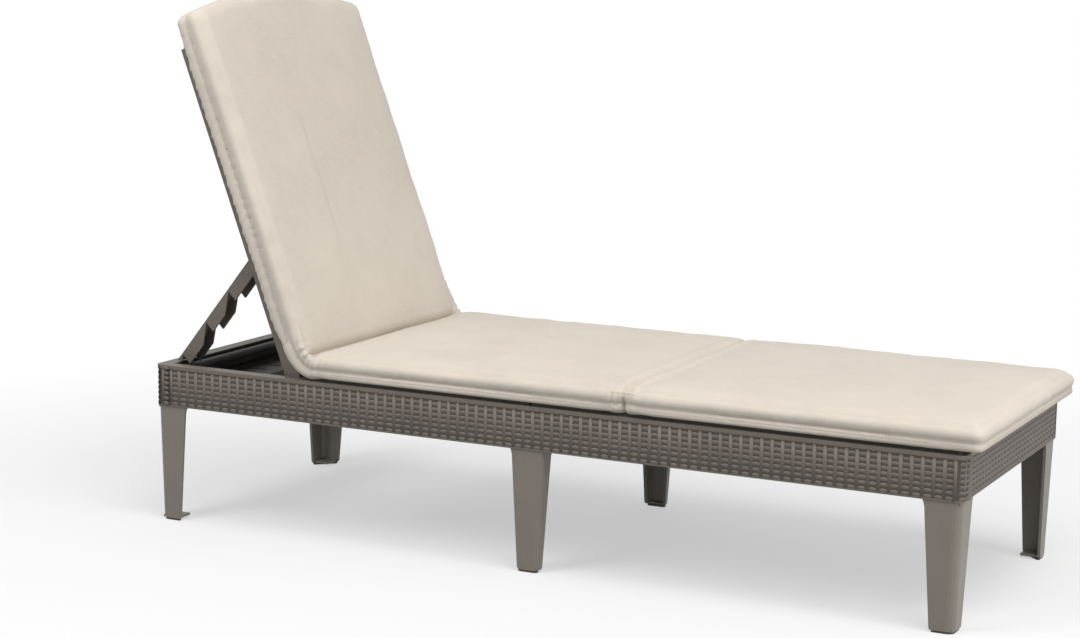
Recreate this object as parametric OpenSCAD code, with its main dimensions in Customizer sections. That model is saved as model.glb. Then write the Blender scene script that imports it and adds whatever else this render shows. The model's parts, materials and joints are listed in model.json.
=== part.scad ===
// Relaxation lounger: a six-legged resin frame with woven-look aprons, two slotted decks,
// an adjustable backrest carried on notched prop arms, and a boxed cushion in three sections.
// The frame's head end is at low x and its foot end at high x, the floor is at z = 0, and
// the backrest stands in its most upright place.

/* [Base frame] */
// Length of the base, over the aprons
base_length = 1520; // [1360:1:1800]
// Width of the base, over the aprons
base_width = 580; // [520:1:700]
// Height of the rail's top above the floor
rail_top = 290; // [260:1:340]
// Height of the apron
apron_height = 75; // [65:1:95]
// Thickness of the apron's moulded wall
apron_wall = 4; // [3:0.1:5]
// How far the woven band is set back from the rim
weave_recess = 2; // [1:0.1:3]
// Height of the plain rim above the woven band
rim_height = 6; // [5:0.5:14]
// Width of the flange on top of the rail
flange_width = 25; // [20:0.5:34]
// Thickness of the flange on top of the rail
flange_thickness = 3; // [2.5:0.1:3.5]
// Radius of the frame's upright corners
corner_radius = 14; // [8:0.5:24]

/* [Legs] */
// Width of each wing of a corner leg at its top
corner_leg_top = 64; // [50:0.5:70]
// Width of each wing of a corner leg at its foot
corner_leg_foot = 41; // [30:0.5:48]
// Width of a middle leg at its top
mid_leg_top = 72; // [56:0.5:84]
// Width of a middle leg at its foot
mid_leg_foot = 43; // [32:0.5:50]
// Depth of a middle leg at its top
mid_leg_depth = 28; // [27:0.5:40]
// Thickness of a leg's moulded wall
leg_wall = 5; // [4:0.1:6]
// Thickness of the rubber glide under a leg
glide_thickness = 4; // [4:0.5:8]

/* [Backrest] */
// Angle of the backrest above the level, at rest
rest_angle = 69; // [66:0.5:72]
// Distance of the pivot from the head end
pivot_from_head = 285; // [275:1:300]
// Depth of the pivot below the top of the rail
pivot_below_rail = 22; // [20:0.5:24]
// Length of a stile, from the pivot to the corner of the frame
backrest_length = 640; // [580:1:680]
// Depth of the backrest frame, front to back
backrest_depth = 29; // [28:0.5:31]
// Width of a stile
stile_width = 16; // [14:0.5:18]
// Rise of the arched top rail at the middle
arch_rise = 34; // [20:1:48]
// Thickness of the slotted back panel
back_panel_thickness = 5; // [4:0.1:6]
// Radius of the pivot pins
pivot_pin_radius = 6; // [5:0.1:7]

/* [Prop] */
// Distance from the backrest pivot to the prop's hinge, along the stile
prop_hinge_up = 250; // [246:0.5:254]
// Slope of a prop arm at rest
prop_slope = 51.8; // [51.4:0.1:52.2]
// Width of a prop arm
prop_width = 36; // [28:0.5:40]
// Thickness of a prop arm's cheeks and web
prop_wall = 4; // [3:0.1:5]
// Depth of a prop arm above its hinge line
prop_above = 9; // [8.5:0.1:9.5]
// Depth of a prop arm's teeth below its hinge line
prop_below = 15; // [14:0.1:16]
// Radius of the bar that the notches hook on
rest_bar_radius = 8; // [7:0.1:8.5]
// Distance of the rest bar from the head end
rest_bar_from_head = 39; // [38:0.1:41]
// Depth of the rest bar's axis below the top of the rail
rest_bar_below_rail = 11.2; // [11:0.1:13]
// The two lower places of the backrest, as angles above the level
lower_places = [47.5, 28.5];

/* [Decks] */
// Thickness of the deck panels
deck_thickness = 5; // [4:0.1:6]
// Width of a slot in a deck panel
slot_width = 14; // [10:0.5:20]
// Distance from one slot to the next
slot_pitch = 34; // [28:0.5:50]
// Depth of the stiffening ribs below a deck
deck_rib_depth = 22; // [14:0.5:30]

/* [Cushion] */
// Thickness of the cushion at its edges
cushion_thickness = 46; // [36:0.5:60]
// Height of the cushion's crown above its edges
cushion_crown = 7; // [3:0.5:12]
// Width of the seat and leg sections
cushion_width = 588; // [560:1:600]
// Width of the back section
back_cushion_width = 576; // [540:1:590]
// Length of the back section above the pivot, at its corners
back_cushion_length = 694; // [660:1:720]
// Radius of the cushion's corners in plan
cushion_corner = 20; // [14:1:44]
// How far the cushion reaches past the foot end
foot_overhang = 30; // [10:0.5:40]
// Distance of the sewn joint between seat and leg sections from the head end
section_joint = 938; // [900:1:1010]
// How far a section's sides are drawn in between its corners
side_draw = 4; // [1:0.5:8]

/* [Hidden] */
$fn = 48;

// Clearances and overruns that several pieces share
fit = 0.05;
seat_gap = 0.3;
running_gap = 1;
over = 1;

// Rail places, measured from the head end and the floor
rail_bottom = rail_top - apron_height;
half_width = base_width / 2;
wall_face = weave_recess + apron_wall;
lip_width = 12;
lip_thickness = 3;
plain_band = 3;
origin_x = (base_length + foot_overhang) / 2;
rib_thickness = 3;
rail_rib_pitch = 120;

// Legs: the corner legs stand in the corners, the middle pair under the middle of the rail
leg_inset = 3;
leg_foot_draw = 5;
leg_plate = 4;
leg_flare = 3;
leg_flare_height = 12;
leg_edge_radius = 3;
mid_leg_round = 9;
mid_leg_foot_share = 0.62;
spigot_height = 36;
spigot_wall_gap = 0.3;
corner_spigot = 34;
mid_spigot_length = 44;
mid_spigot_depth = 18;
socket_wall = 3;
screw_radius = 2.5;
screw_head_radius = 5;
screw_head_height = 2.6;
screw_length = 22;
leg_top_z = rail_bottom;
leg_foot_z = glide_thickness;

// Backrest: drawn along its stiles from the pivot, front face up
pivot_x = pivot_from_head;
pivot_z = rail_top - pivot_below_rail;
face_depth = 16;
back_depth = backrest_depth - face_depth;
stile_gap = 3;
stile_outer = half_width - flange_width - stile_gap;
stile_inner = stile_outer - stile_width;
stile_wall = 3.5;
rail_band = 30;
bottom_rail_start = 2;
bottom_rail_end = 30;
bottom_rail_depth = 24;
panel_gap = 0.5;
panel_start = bottom_rail_end + panel_gap;
panel_back = face_depth - back_panel_thickness;
back_slot_margin = 28;
back_slot_start = 78;
panel_ledge = 20;
panel_ledge_thickness = 3;
bracket_half = 20;
bracket_base_drop = 24;
pin_head_radius = 10;
pin_head_thickness = 3;

// Prop: drawn along the arm from its hinge, web up and notches down
prop_hinge_depth = -1;
prop_pin_radius = 5;
prop_boss_radius = 10.5;
prop_side_gap = 2;
prop_pin_end_radius = 6.5;
prop_pin_end_thickness = 2;
prop_outer = stile_inner - prop_side_gap;
prop_inner = prop_outer - prop_width;
prop_end_above_rail = 2.2;
notch_undercut = 3;
notch_gap = 3.75;
notch_ramp = 40;
notch_apex_width = 1.5;
notch_top = prop_above - prop_wall;
cross_bar_radius = 6;
cross_bar_along = 24;
cross_bar_below = 3;
rest_bar_x = rest_bar_from_head;
rest_bar_z = rail_top - rest_bar_below_rail;
cradle_half = 13;
cradle_below = 14;
cradle_depth = 16;

// Decks, beams and the shelf in the head bay
deck_overlap = 14;
deck_past_pivot = 21;
deck_edge = half_width - flange_width + deck_overlap;
deck_z = rail_top;
deck_top = deck_z + deck_thickness;
deck_start = pivot_x + deck_past_pivot;
deck_joint = base_length / 2;
deck_end = base_length - flange_width + deck_overlap;
deck_gap = 0.5;
deck_corner = 6;
slot_columns = 3;
slot_land = 26;
slot_margin = 22;
deck_rib_thickness = 3;
beam_length = 30;
beam_height = 34;
beam_wall = 3;
beam_inset = 4;
beam_play = 1;
hinge_beam_start = deck_start + beam_inset;
mid_beam_start = deck_joint - beam_length / 2;
leg_beam_start = (deck_joint + deck_end - beam_length) / 2;
shelf_drop = 40;
shelf_thickness = 4;
shelf_length = 108;
shelf_lip = 14;
shelf_slot = 10;
shelf_slot_pitch = 48;
shelf_slots = 9;
shelf_corner_gap = 9;

// Cushion sections: a side profile of insets and heights, both as chosen values and shares
cushion_z = deck_top + seat_gap;
back_cushion_back = face_depth + seat_gap;
hinge_gap = 1.6;
mitre_close = 1.5;
section_gap = 1;
back_arch = 36;
arch_power = 4;
hinge_round = 24;
hinge_round_power = 3;
hinge_end_share = 3;
least_corner_share = 0.25;
joint_corner = 8;
joint_tight = 0.6;
side_inset_shares = [0.1, 0.03, 0.015, 0.02, 0.065, 0.02, 0, 0.035, 0.13, 0.36];
side_height_shares = [0, 0.05, 0.14, 0.27, 0.34, 0.41, 0.56, 0.76, 0.92, 1];
crown_inset_shares = [0.18, 0.4, 0.7];
crown_height_shares = [0.5, 0.85, 1];
long_steps = 10;
end_steps = 7;
corner_steps = 4;

// Colours as the frame and the cushion show them
resin = "#6b635b";
resin_dark = "#3d3731";
resin_light = "#7d756c";
fabric = "#d8cebf";
rubber = "#24221f";
steel = "#a5a5a3";

// Places worked out from the sizes above
function hinge_at(angle) = [
    pivot_x - prop_hinge_up * cos(angle) + prop_hinge_depth * sin(angle),
    pivot_z + prop_hinge_up * sin(angle) + prop_hinge_depth * cos(angle)
];
function reach(angle) = norm(hinge_at(angle) - [rest_bar_x, rest_bar_z]);
function notch_at(angle) = reach(angle) - notch_undercut - rest_bar_radius - notch_gap;
prop_hinge = hinge_at(rest_angle);
notch_places = [notch_at(lower_places[1]), notch_at(lower_places[0]), notch_at(rest_angle)];

// Where the arm is cut level, just above the rail, at a depth t below or above its hinge line
function arm_end(t) =
    (prop_hinge[1] + t * cos(prop_slope) - rail_top - prop_end_above_rail) / sin(prop_slope);

// Plan and profile helpers
function arc(centre, radius, from, to, steps) = [
    for (i = [0:steps]) centre + radius * [cos(from + (to - from) * i / steps),
                                           sin(from + (to - from) * i / steps)]
];
function run(a, b, steps) = [for (i = [0:steps - 1]) a + (b - a) * i / steps];

// A rectangle with round corners, from one x to another
module rounded_plate(from, to, half, radius) {
    translate([from + radius, -half]) square([to - from - 2 * radius, 2 * half]);
    translate([from, -half + radius]) square([to - from, 2 * half - 2 * radius]);
    for (x = [from + radius, to - radius], y = [radius - half, half - radius])
        translate([x, y]) circle(r = radius);
}

// Everything is measured from the head end and moved so that the origin is under the middle
module placed() {
    translate([-origin_x, 0, 0]) children();
}

// One side's piece, drawn on the left and mirrored for the right
module on_side(side) {
    if (side > 0) children();
    else mirror([0, 1, 0]) children();
}

// An outline in x and z, drawn out along y
module along_y(from, to) {
    translate([0, to, 0]) rotate([90, 0, 0]) linear_extrude(height = to - from) children();
}

// Backrest pieces are drawn with x up along the stile and z out of the sitting face
module on_backrest() {
    translate([pivot_x, 0, pivot_z]) rotate([0, rest_angle, 0]) mirror([1, 0, 0]) children();
}

// Prop pieces are drawn with x down along the arm and z out of its web
module on_prop() {
    translate([prop_hinge[0], 0, prop_hinge[1]])
        rotate([0, -prop_slope, 0]) mirror([1, 0, 0]) children();
}

// A closed skin through rings that all have the same number of points
module loft(rings) {
    count = len(rings[0]);
    levels = len(rings);
    polyhedron(
        points = [for (ring = rings) each ring],
        faces = concat(
            [[for (i = [0:count - 1]) i]],
            [[for (i = [count - 1:-1:0]) (levels - 1) * count + i]],
            [for (k = [0:levels - 2], i = [0:count - 1]) each [
                [k * count + i, (k + 1) * count + i, k * count + (i + 1) % count],
                [k * count + (i + 1) % count, (k + 1) * count + i,
                 (k + 1) * count + (i + 1) % count]
            ]]
        )
    );
}

// The apron ring: rim, recessed woven band, plain lower band, top flange and lower lip
module ring_band(bottom, top, outset, inset) {
    translate([0, 0, bottom]) linear_extrude(height = top - bottom) difference() {
        rounded_plate(outset, base_length - outset, half_width - outset, corner_radius - outset);
        translate([inset, inset - half_width])
            square([base_length - 2 * inset, base_width - 2 * inset]);
    }
}

module apron_ring() {
    ring_band(rail_bottom, rail_top, weave_recess, wall_face);
    ring_band(rail_top - rim_height, rail_top, 0, wall_face);
    ring_band(rail_bottom, rail_bottom + plain_band, weave_recess / 2, wall_face);
    ring_band(rail_top - flange_thickness, rail_top, 0, flange_width);
    ring_band(rail_bottom, rail_bottom + lip_thickness, weave_recess, lip_width);
}

// Centres of the legs and the corner signs that place them
mid_x = base_length / 2;
corner_spigot_centre = wall_face + spigot_wall_gap + corner_spigot / 2;
mid_spigot_centre = wall_face + spigot_wall_gap + mid_spigot_depth / 2;

module socket_box(length, depth) {
    translate([0, 0, rail_bottom])
        cube([length + spigot_wall_gap * 2 + socket_wall,
              depth + spigot_wall_gap * 2 + socket_wall, spigot_height + socket_wall]);
}

module spigot_way(length, depth) {
    translate([0, 0, rail_bottom - over])
        cube([length + spigot_wall_gap * 2, depth + spigot_wall_gap * 2, spigot_height + over]);
}

// A corner socket is drawn at the head end's right corner and mirrored to the others
module at_corner(end, side) {
    translate([end > 0 ? base_length : 0, side * half_width, 0])
        mirror([end > 0 ? 1 : 0, 0, 0]) mirror([0, side > 0 ? 1 : 0, 0]) children();
}

module corner_socket() {
    translate([wall_face, wall_face, 0]) socket_box(corner_spigot, corner_spigot);
}

// The room that a corner socket takes out of the end rail beside it
module corner_socket_room() {
    room = corner_spigot + 2 * spigot_wall_gap + socket_wall + fit;
    translate([wall_face, wall_face, rail_bottom - over])
        cube([room, room, spigot_height + socket_wall + over + fit]);
}

module corner_socket_way() {
    translate([wall_face, wall_face, 0]) spigot_way(corner_spigot, corner_spigot);
    translate([corner_spigot_centre, corner_spigot_centre, rail_bottom])
        cylinder(r = screw_radius + fit, h = spigot_height + socket_wall + over);
}

module at_middle(side) {
    translate([mid_x, side * half_width, 0]) mirror([0, side > 0 ? 1 : 0, 0]) children();
}

module mid_socket() {
    translate([-mid_spigot_length / 2 - spigot_wall_gap - socket_wall, wall_face, 0])
        socket_box(mid_spigot_length + socket_wall, mid_spigot_depth);
}

module mid_socket_way() {
    translate([-mid_spigot_length / 2 - spigot_wall_gap, wall_face, 0])
        spigot_way(mid_spigot_length, mid_spigot_depth);
    translate([0, mid_spigot_centre, rail_bottom])
        cylinder(r = screw_radius + fit, h = spigot_height + socket_wall + over);
}

// Upright ribs between the wall and the flange stiffen the long rails
module rail_ribs() {
    first = pivot_x + bracket_half + rail_rib_pitch / 2;
    last = base_length - corner_leg_top - rail_rib_pitch / 2;
    for (x = [first:rail_rib_pitch:last])
        if (abs(x - mid_x) > mid_leg_top / 2)
            translate([x, half_width - flange_width, rail_bottom + lip_thickness])
                rotate([90, 0, 90]) linear_extrude(height = rib_thickness)
                    polygon([[0, apron_height - lip_thickness - flange_thickness],
                             [flange_width - wall_face + fit,
                              apron_height - lip_thickness - flange_thickness],
                             [flange_width - wall_face + fit, 0],
                             [flange_width - lip_width, 0]]);
}

// A block inside the rail holds the end of the rest bar
module bar_cradle() {
    translate([rest_bar_x - cradle_half, half_width - wall_face - cradle_depth,
               rest_bar_z - cradle_below])
        cube([2 * cradle_half, cradle_depth + fit,
              rail_top - flange_thickness - rest_bar_z + cradle_below]);
}

module side_rail(side) {
    color(resin) placed() on_side(side) difference() {
        union() {
            intersection() {
                apron_ring();
                translate([0, half_width - flange_width, 0])
                    cube([base_length, flange_width, rail_top]);
            }
            at_corner(-1, 1) corner_socket();
            at_corner(1, 1) corner_socket();
            at_middle(1) mid_socket();
            rail_ribs();
            bar_cradle();
        }
        at_corner(-1, 1) corner_socket_way();
        at_corner(1, 1) corner_socket_way();
        at_middle(1) mid_socket_way();
        translate([rest_bar_x, half_width - wall_face, rest_bar_z])
            rotate([90, 0, 0]) cylinder(r = rest_bar_radius + fit, h = cradle_depth + over);
        for (x = deck_screw_places)
            translate([x, deck_screw_y, rail_top - flange_thickness - over])
                cylinder(r = screw_radius + fit, h = flange_thickness + 2 * over);
    }
}

module side_rail_left() side_rail(1);
module side_rail_right() side_rail(-1);

module end_rail(x) {
    color(resin) placed() difference() {
        intersection() {
            apron_ring();
            translate([x, flange_width - half_width, 0])
                cube([flange_width, base_width - 2 * flange_width, rail_top]);
        }
        for (end = [-1, 1], side = [-1, 1]) at_corner(end, side) corner_socket_room();
    }
}

module head_rail() end_rail(0);
module foot_rail() end_rail(base_length - flange_width);

// A corner leg's section: two wings round an outer corner, drawn inwards from that corner
function corner_section(width, inset, z) = [
    for (p = concat(
        [[width, 0]],
        arc([corner_radius, corner_radius], corner_radius, 270, 180, corner_steps),
        [[0, width], [leg_wall, width]],
        arc([corner_radius, corner_radius], corner_radius - leg_wall, 180, 270, corner_steps),
        [[width, leg_wall]]
    )) [p[0] + inset, p[1] + inset, z]
];

// A middle leg's section: an outer face with a return at each side
function mid_section(width, depth, inset, z) = [
    for (p = concat(
        [[width / 2, depth]],
        arc([width / 2 - mid_leg_round, mid_leg_round], mid_leg_round, 360, 270, corner_steps),
        arc([mid_leg_round - width / 2, mid_leg_round], mid_leg_round, 270, 180, corner_steps),
        [[-width / 2, depth], [leg_wall - width / 2, depth]],
        arc([mid_leg_round - width / 2, mid_leg_round], mid_leg_round - leg_wall,
            180, 270, corner_steps),
        arc([width / 2 - mid_leg_round, mid_leg_round], mid_leg_round - leg_wall,
            270, 360, corner_steps),
        [[width / 2 - leg_wall, depth]]
    )) [p[0], p[1] + inset, z]
];

// Heights down a leg: a short flare under the apron, then a straight taper
leg_levels = [leg_top_z, leg_top_z - leg_flare_height / 3, leg_top_z - leg_flare_height,
              leg_foot_z + leg_edge_radius, leg_foot_z];
// Undersides of the plates that close a leg
leg_plate_levels = [leg_top_z - leg_plate, leg_foot_z];
function taper(z) = (leg_top_z - z) / (leg_top_z - leg_foot_z);
function flare(z) = leg_flare * pow(max(0, 1 - (leg_top_z - z) / leg_flare_height), 2)
    - (z < leg_foot_z + leg_edge_radius ? leg_edge_radius / 2 : 0);
function corner_width(z) = corner_leg_top - leg_flare
    + (corner_leg_foot - corner_leg_top + leg_flare) * taper(z) + flare(z);
function mid_width(z) = mid_leg_top - 2 * leg_flare
    + (mid_leg_foot - mid_leg_top + 2 * leg_flare) * taper(z) + 2 * flare(z);
function mid_depth(z) = mid_leg_depth * (1 + (mid_leg_foot_share - 1) * taper(z)) + flare(z);
function leg_out(z) = leg_inset + leg_foot_draw * taper(z);

module spigot(length, depth) {
    difference() {
        translate([-length / 2, -depth / 2, rail_bottom - leg_plate])
            cube([length, depth, spigot_height + leg_plate]);
        translate([0, 0, rail_bottom + spigot_height - screw_length])
            cylinder(r = screw_radius + fit, h = screw_length + over);
    }
}

// An outline that fills a corner between two wings, rounded outside. Inside it runs straight
// from wing to wing, or by the given points.
module corner_outline(width, radius, inside) {
    polygon(concat(
        [[width, 0]],
        arc([radius, radius], radius, 270, 180, corner_steps),
        [[0, width]],
        inside
    ));
}

module corner_leg(end, side) {
    color(resin_light) placed() at_corner(end, side) {
        loft([for (z = leg_levels) corner_section(corner_width(z), leg_out(z), z)]);
        for (z = leg_plate_levels)
            translate([leg_out(z) + leg_wall / 2, leg_out(z) + leg_wall / 2, z])
                cube([corner_width(z) - leg_wall, corner_width(z) - leg_wall, leg_plate]);
        translate([corner_spigot_centre, corner_spigot_centre, 0])
            spigot(corner_spigot, corner_spigot);
    }
}

module mid_leg(side) {
    color(resin_light) placed() at_middle(side) {
        loft([for (z = leg_levels) mid_section(mid_width(z), mid_depth(z), leg_out(z), z)]);
        for (z = leg_plate_levels)
            translate([(leg_wall - mid_width(z)) / 2, leg_out(z) + leg_wall / 2, z])
                cube([mid_width(z) - leg_wall, mid_depth(z) - leg_wall, leg_plate]);
        translate([0, mid_spigot_centre, 0]) spigot(mid_spigot_length, mid_spigot_depth);
    }
}

module leg_head_left() corner_leg(-1, 1);
module leg_head_right() corner_leg(-1, -1);
module leg_mid_left() mid_leg(1);
module leg_mid_right() mid_leg(-1);
module leg_foot_left() corner_leg(1, 1);
module leg_foot_right() corner_leg(1, -1);

// A rubber glide under each leg, a little smaller than the foot
glide_inset = 2;
corner_glide = corner_leg_foot - leg_edge_radius / 2 - 2 * glide_inset;
mid_glide_length = mid_leg_foot - leg_edge_radius - 2 * glide_inset;
mid_glide_depth = mid_leg_depth * mid_leg_foot_share - leg_edge_radius / 2 - 2 * glide_inset;
glide_corner = 5;

module leg_glides() {
    glide_out = leg_inset + leg_foot_draw + glide_inset;
    color(rubber) placed() {
        for (end = [-1, 1], side = [-1, 1])
            at_corner(end, side)
                translate([glide_out, glide_out, 0]) linear_extrude(height = glide_thickness)
                    corner_outline(corner_glide, corner_radius - glide_inset,
                                   [[leg_wall, corner_glide], [corner_glide, leg_wall]]);
        for (side = [-1, 1])
            at_middle(side)
                translate([-mid_glide_length / 2, glide_out + mid_glide_depth / 2, 0])
                    linear_extrude(height = glide_thickness)
                        rounded_plate(0, mid_glide_length, mid_glide_depth / 2, glide_corner);
    }
}

// A pan-head screw, drawn standing on its shank's end
module screw(length) {
    cylinder(r = screw_radius, h = length);
    translate([0, 0, length]) intersection() {
        cylinder(r = screw_head_radius, h = screw_head_height);
        translate([0, 0, screw_head_height - screw_head_radius * 2])
            sphere(r = screw_head_radius * 2);
    }
}

module leg_screws() {
    leg_screw = screw_length - socket_wall;
    bottom = rail_bottom + spigot_height + socket_wall - leg_screw;
    color(steel) placed() {
        for (end = [-1, 1], side = [-1, 1])
            at_corner(end, side)
                translate([corner_spigot_centre, corner_spigot_centre, bottom]) screw(leg_screw);
        for (side = [-1, 1])
            at_middle(side) translate([0, mid_spigot_centre, bottom]) screw(leg_screw);
    }
}

// Deck panels lie on the flanges and the beams, with rows of cross slots
deck_screw_y = half_width - flange_width + deck_overlap / 2;
deck_screw_places = [hinge_beam_start + beam_length + slot_pitch / 2,
                     deck_joint - (mid_leg_top + slot_pitch) / 2,
                     deck_joint + (mid_leg_top + slot_pitch) / 2, deck_end - slot_pitch / 2];

module slot_row(length) {
    for (i = [0:slot_columns - 1])
        translate([0, (i - (slot_columns - 1) / 2) * (length + slot_land)])
            rounded_plate(-slot_width / 2, slot_width / 2, length / 2, slot_width / 2 - fit);
}

module deck(from, to) {
    slot_length = (2 * (half_width - flange_width) - 2 * slot_margin
                   - (slot_columns - 1) * slot_land) / slot_columns;
    rows = floor((to - from - 2 * slot_pitch) / slot_pitch);
    first = (from + to) / 2 - rows * slot_pitch / 2;
    rib_y = (slot_length + slot_land) / 2;
    color(resin_dark) placed() {
        difference() {
            translate([0, 0, deck_z]) linear_extrude(height = deck_thickness) difference() {
                rounded_plate(from, to, deck_edge, deck_corner);
                for (i = [0:rows]) translate([first + i * slot_pitch, 0]) slot_row(slot_length);
            }
            for (x = deck_screw_places, side = [-1, 1])
                translate([x, side * deck_screw_y, deck_z - over])
                    cylinder(r = screw_radius + fit, h = deck_thickness + 2 * over);
        }
        difference() {
            for (y = [-rib_y, rib_y])
                translate([from + beam_length + slot_land, y - deck_rib_thickness / 2,
                           deck_z - deck_rib_depth])
                    cube([to - from - 2 * (beam_length + slot_land), deck_rib_thickness,
                          deck_rib_depth + fit]);
            translate([leg_beam_start - beam_play, -deck_edge, deck_z - deck_rib_depth - over])
                cube([beam_length + 2 * beam_play, 2 * deck_edge, deck_rib_depth + over - fit]);
        }
    }
}

module seat_deck() deck(deck_start, deck_joint - deck_gap);
module leg_deck() deck(deck_joint + deck_gap, deck_end);

// Screws hold the decks to the flanges from below, with their heads under the flange
module deck_screws() {
    reach_up = deck_thickness + flange_thickness - fit;
    color(steel) placed()
        for (x = deck_screw_places, side = [-1, 1])
            translate([x, side * deck_screw_y, deck_top - fit]) mirror([0, 0, 1])
                screw(reach_up);
}

// A cross beam is a channel, open below, between the two long rails or their middle sockets
module cross_beam(from, ends) {
    bottom = rail_top - flange_thickness - beam_height;
    half = half_width - ends - seat_gap;
    color(resin_dark) placed() difference() {
        translate([from, -half, bottom]) cube([beam_length, 2 * half, beam_height]);
        translate([from + beam_wall, -half_width, bottom - over])
            cube([beam_length - 2 * beam_wall, base_width, beam_height - beam_wall + over]);
    }
}

mid_socket_face = wall_face + mid_spigot_depth + 2 * spigot_wall_gap + socket_wall;
module hinge_beam() cross_beam(hinge_beam_start, wall_face);
module mid_beam() cross_beam(mid_beam_start, mid_socket_face);
module leg_beam() cross_beam(leg_beam_start, wall_face);

// The shelf behind the head rail ties the long rails together low in the bay
module bay_shelf() {
    z = rail_top - shelf_drop - shelf_thickness;
    reach_out = half_width - wall_face - seat_gap;
    clear = corner_spigot + wall_face + shelf_corner_gap;
    color(resin_dark) placed() difference() {
        union() {
            translate([wall_face, -reach_out, z])
                cube([shelf_length, 2 * reach_out, shelf_thickness]);
            translate([wall_face + shelf_length - shelf_thickness, -reach_out, z - shelf_lip])
                cube([shelf_thickness, 2 * reach_out, shelf_lip + fit]);
        }
        for (side = [-1, 1])
            translate([0, side > 0 ? half_width - clear : -half_width, z - over])
                cube([clear, clear, shelf_thickness + 2 * over]);
        for (i = [0:shelf_slots - 1])
            translate([clear, (i - (shelf_slots - 1) / 2) * shelf_slot_pitch - shelf_slot / 2,
                       z - over])
                cube([shelf_length - clear - slot_margin, shelf_slot,
                      shelf_thickness + 2 * over]);
    }
}

module rest_bar() {
    reach_out = half_width - wall_face - fit;
    color(resin_dark) placed()
        translate([rest_bar_x, reach_out, rest_bar_z])
            rotate([90, 0, 0]) cylinder(r = rest_bar_radius, h = 2 * reach_out);
}

// A bracket inside each rail holds the backrest's pivot pin
module pivot_bracket(side) {
    foot = pivot_z - bracket_base_drop;
    color(resin_dark) placed() on_side(side) difference() {
        along_y(stile_outer + running_gap, half_width - wall_face - fit) {
            translate([pivot_x, pivot_z]) circle(r = rail_top - flange_thickness - pivot_z - fit);
            polygon([[pivot_x - bracket_half, foot], [pivot_x + bracket_half, foot],
                     [pivot_x + rail_top - flange_thickness - pivot_z - fit, pivot_z],
                     [pivot_x - rail_top + flange_thickness + pivot_z + fit, pivot_z]]);
        }
        translate([pivot_x, half_width, pivot_z]) rotate([90, 0, 0])
            cylinder(r = pivot_pin_radius + fit, h = half_width);
    }
}

module pivot_bracket_left() pivot_bracket(1);
module pivot_bracket_right() pivot_bracket(-1);

module pivot_pin(side) {
    color(steel) placed() on_side(side) {
        translate([pivot_x, half_width - wall_face - 2 * fit, pivot_z]) rotate([90, 0, 0])
            cylinder(r = pivot_pin_radius,
                     h = half_width - wall_face - stile_inner + running_gap);
        translate([pivot_x, stile_inner - fit, pivot_z]) rotate([90, 0, 0])
            cylinder(r = pin_head_radius, h = pin_head_thickness);
    }
}

module pivot_pin_left() pivot_pin(1);
module pivot_pin_right() pivot_pin(-1);

// A stile is a moulded channel with solid bosses at the pivot and at the prop's hinge
module stile(side) {
    color(resin) placed() on_backrest() on_side(side) difference() {
        along_y(stile_inner, stile_outer) {
            circle(r = face_depth);
            translate([0, -back_depth]) square([backrest_length, backrest_depth]);
        }
        along_y(stile_inner - over, stile_outer - stile_wall) {
            channel_from = face_depth + stile_wall;
            channel_mid = prop_hinge_up - face_depth;
            translate([channel_from, stile_wall - back_depth])
                square([channel_mid - channel_from, backrest_depth - 2 * stile_wall]);
            translate([prop_hinge_up + face_depth, stile_wall - back_depth])
                square([backrest_length - stile_wall - prop_hinge_up - face_depth,
                        backrest_depth - 2 * stile_wall]);
        }
        translate([0, stile_outer + over, 0]) rotate([90, 0, 0])
            cylinder(r = pivot_pin_radius + fit, h = stile_width + 2 * over);
        translate([prop_hinge_up, stile_outer - stile_wall, prop_hinge_depth]) rotate([90, 0, 0])
            cylinder(r = prop_pin_radius + fit, h = stile_width);
    }
}

module backrest_stile_left() stile(1);
module backrest_stile_right() stile(-1);

// The top rail follows an arch that meets the stiles' ends
arch_radius = (pow(stile_outer, 2) + pow(arch_rise, 2)) / (2 * arch_rise);
arch_centre = backrest_length + arch_rise - arch_radius;

// Ledges on the top and bottom rails carry the panel, and screws hold it from below
panel_end = backrest_length - rail_band - fit;
back_slot_length = (2 * (stile_inner - back_slot_margin) - (slot_columns - 1) * slot_land)
    / slot_columns;
panel_screw_places = [panel_start + panel_ledge / 2, panel_end - panel_ledge / 2];
panel_screw_y = back_slot_length + slot_land;

module panel_ledge_plate(from, half) {
    translate([from, -half, panel_back - panel_ledge_thickness])
        cube([panel_ledge, 2 * half, panel_ledge_thickness]);
}

module panel_screw_bores() {
    for (x = panel_screw_places, i = [-1:1])
        translate([x, i * panel_screw_y, panel_back - panel_ledge_thickness - over])
            cylinder(r = screw_radius + fit,
                     h = back_panel_thickness + panel_ledge_thickness + 2 * over);
}

module backrest_top_rail() {
    color(resin) placed() on_backrest() difference() {
        union() {
            translate([0, 0, -back_depth]) linear_extrude(height = backrest_depth) {
                intersection() {
                    translate([arch_centre, 0]) circle(r = arch_radius, $fn = 360);
                    translate([backrest_length, -stile_outer])
                        square([arch_rise + over, 2 * stile_outer]);
                }
                translate([backrest_length - rail_band, fit - stile_inner])
                    square([rail_band + fit, 2 * (stile_inner - fit)]);
            }
            panel_ledge_plate(panel_end - panel_ledge, stile_inner - fit);
            translate([panel_end, fit - stile_inner, panel_back - panel_ledge_thickness])
                cube([stile_wall, 2 * (stile_inner - fit), panel_ledge_thickness]);
        }
        translate([0, 0, -back_depth - over])
            linear_extrude(height = backrest_depth - stile_wall + over)
                translate([backrest_length - rail_band + stile_wall, stile_wall - stile_inner])
                    square([rail_band - stile_wall, 2 * (stile_inner - stile_wall)]);
        panel_screw_bores();
    }
}

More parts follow.
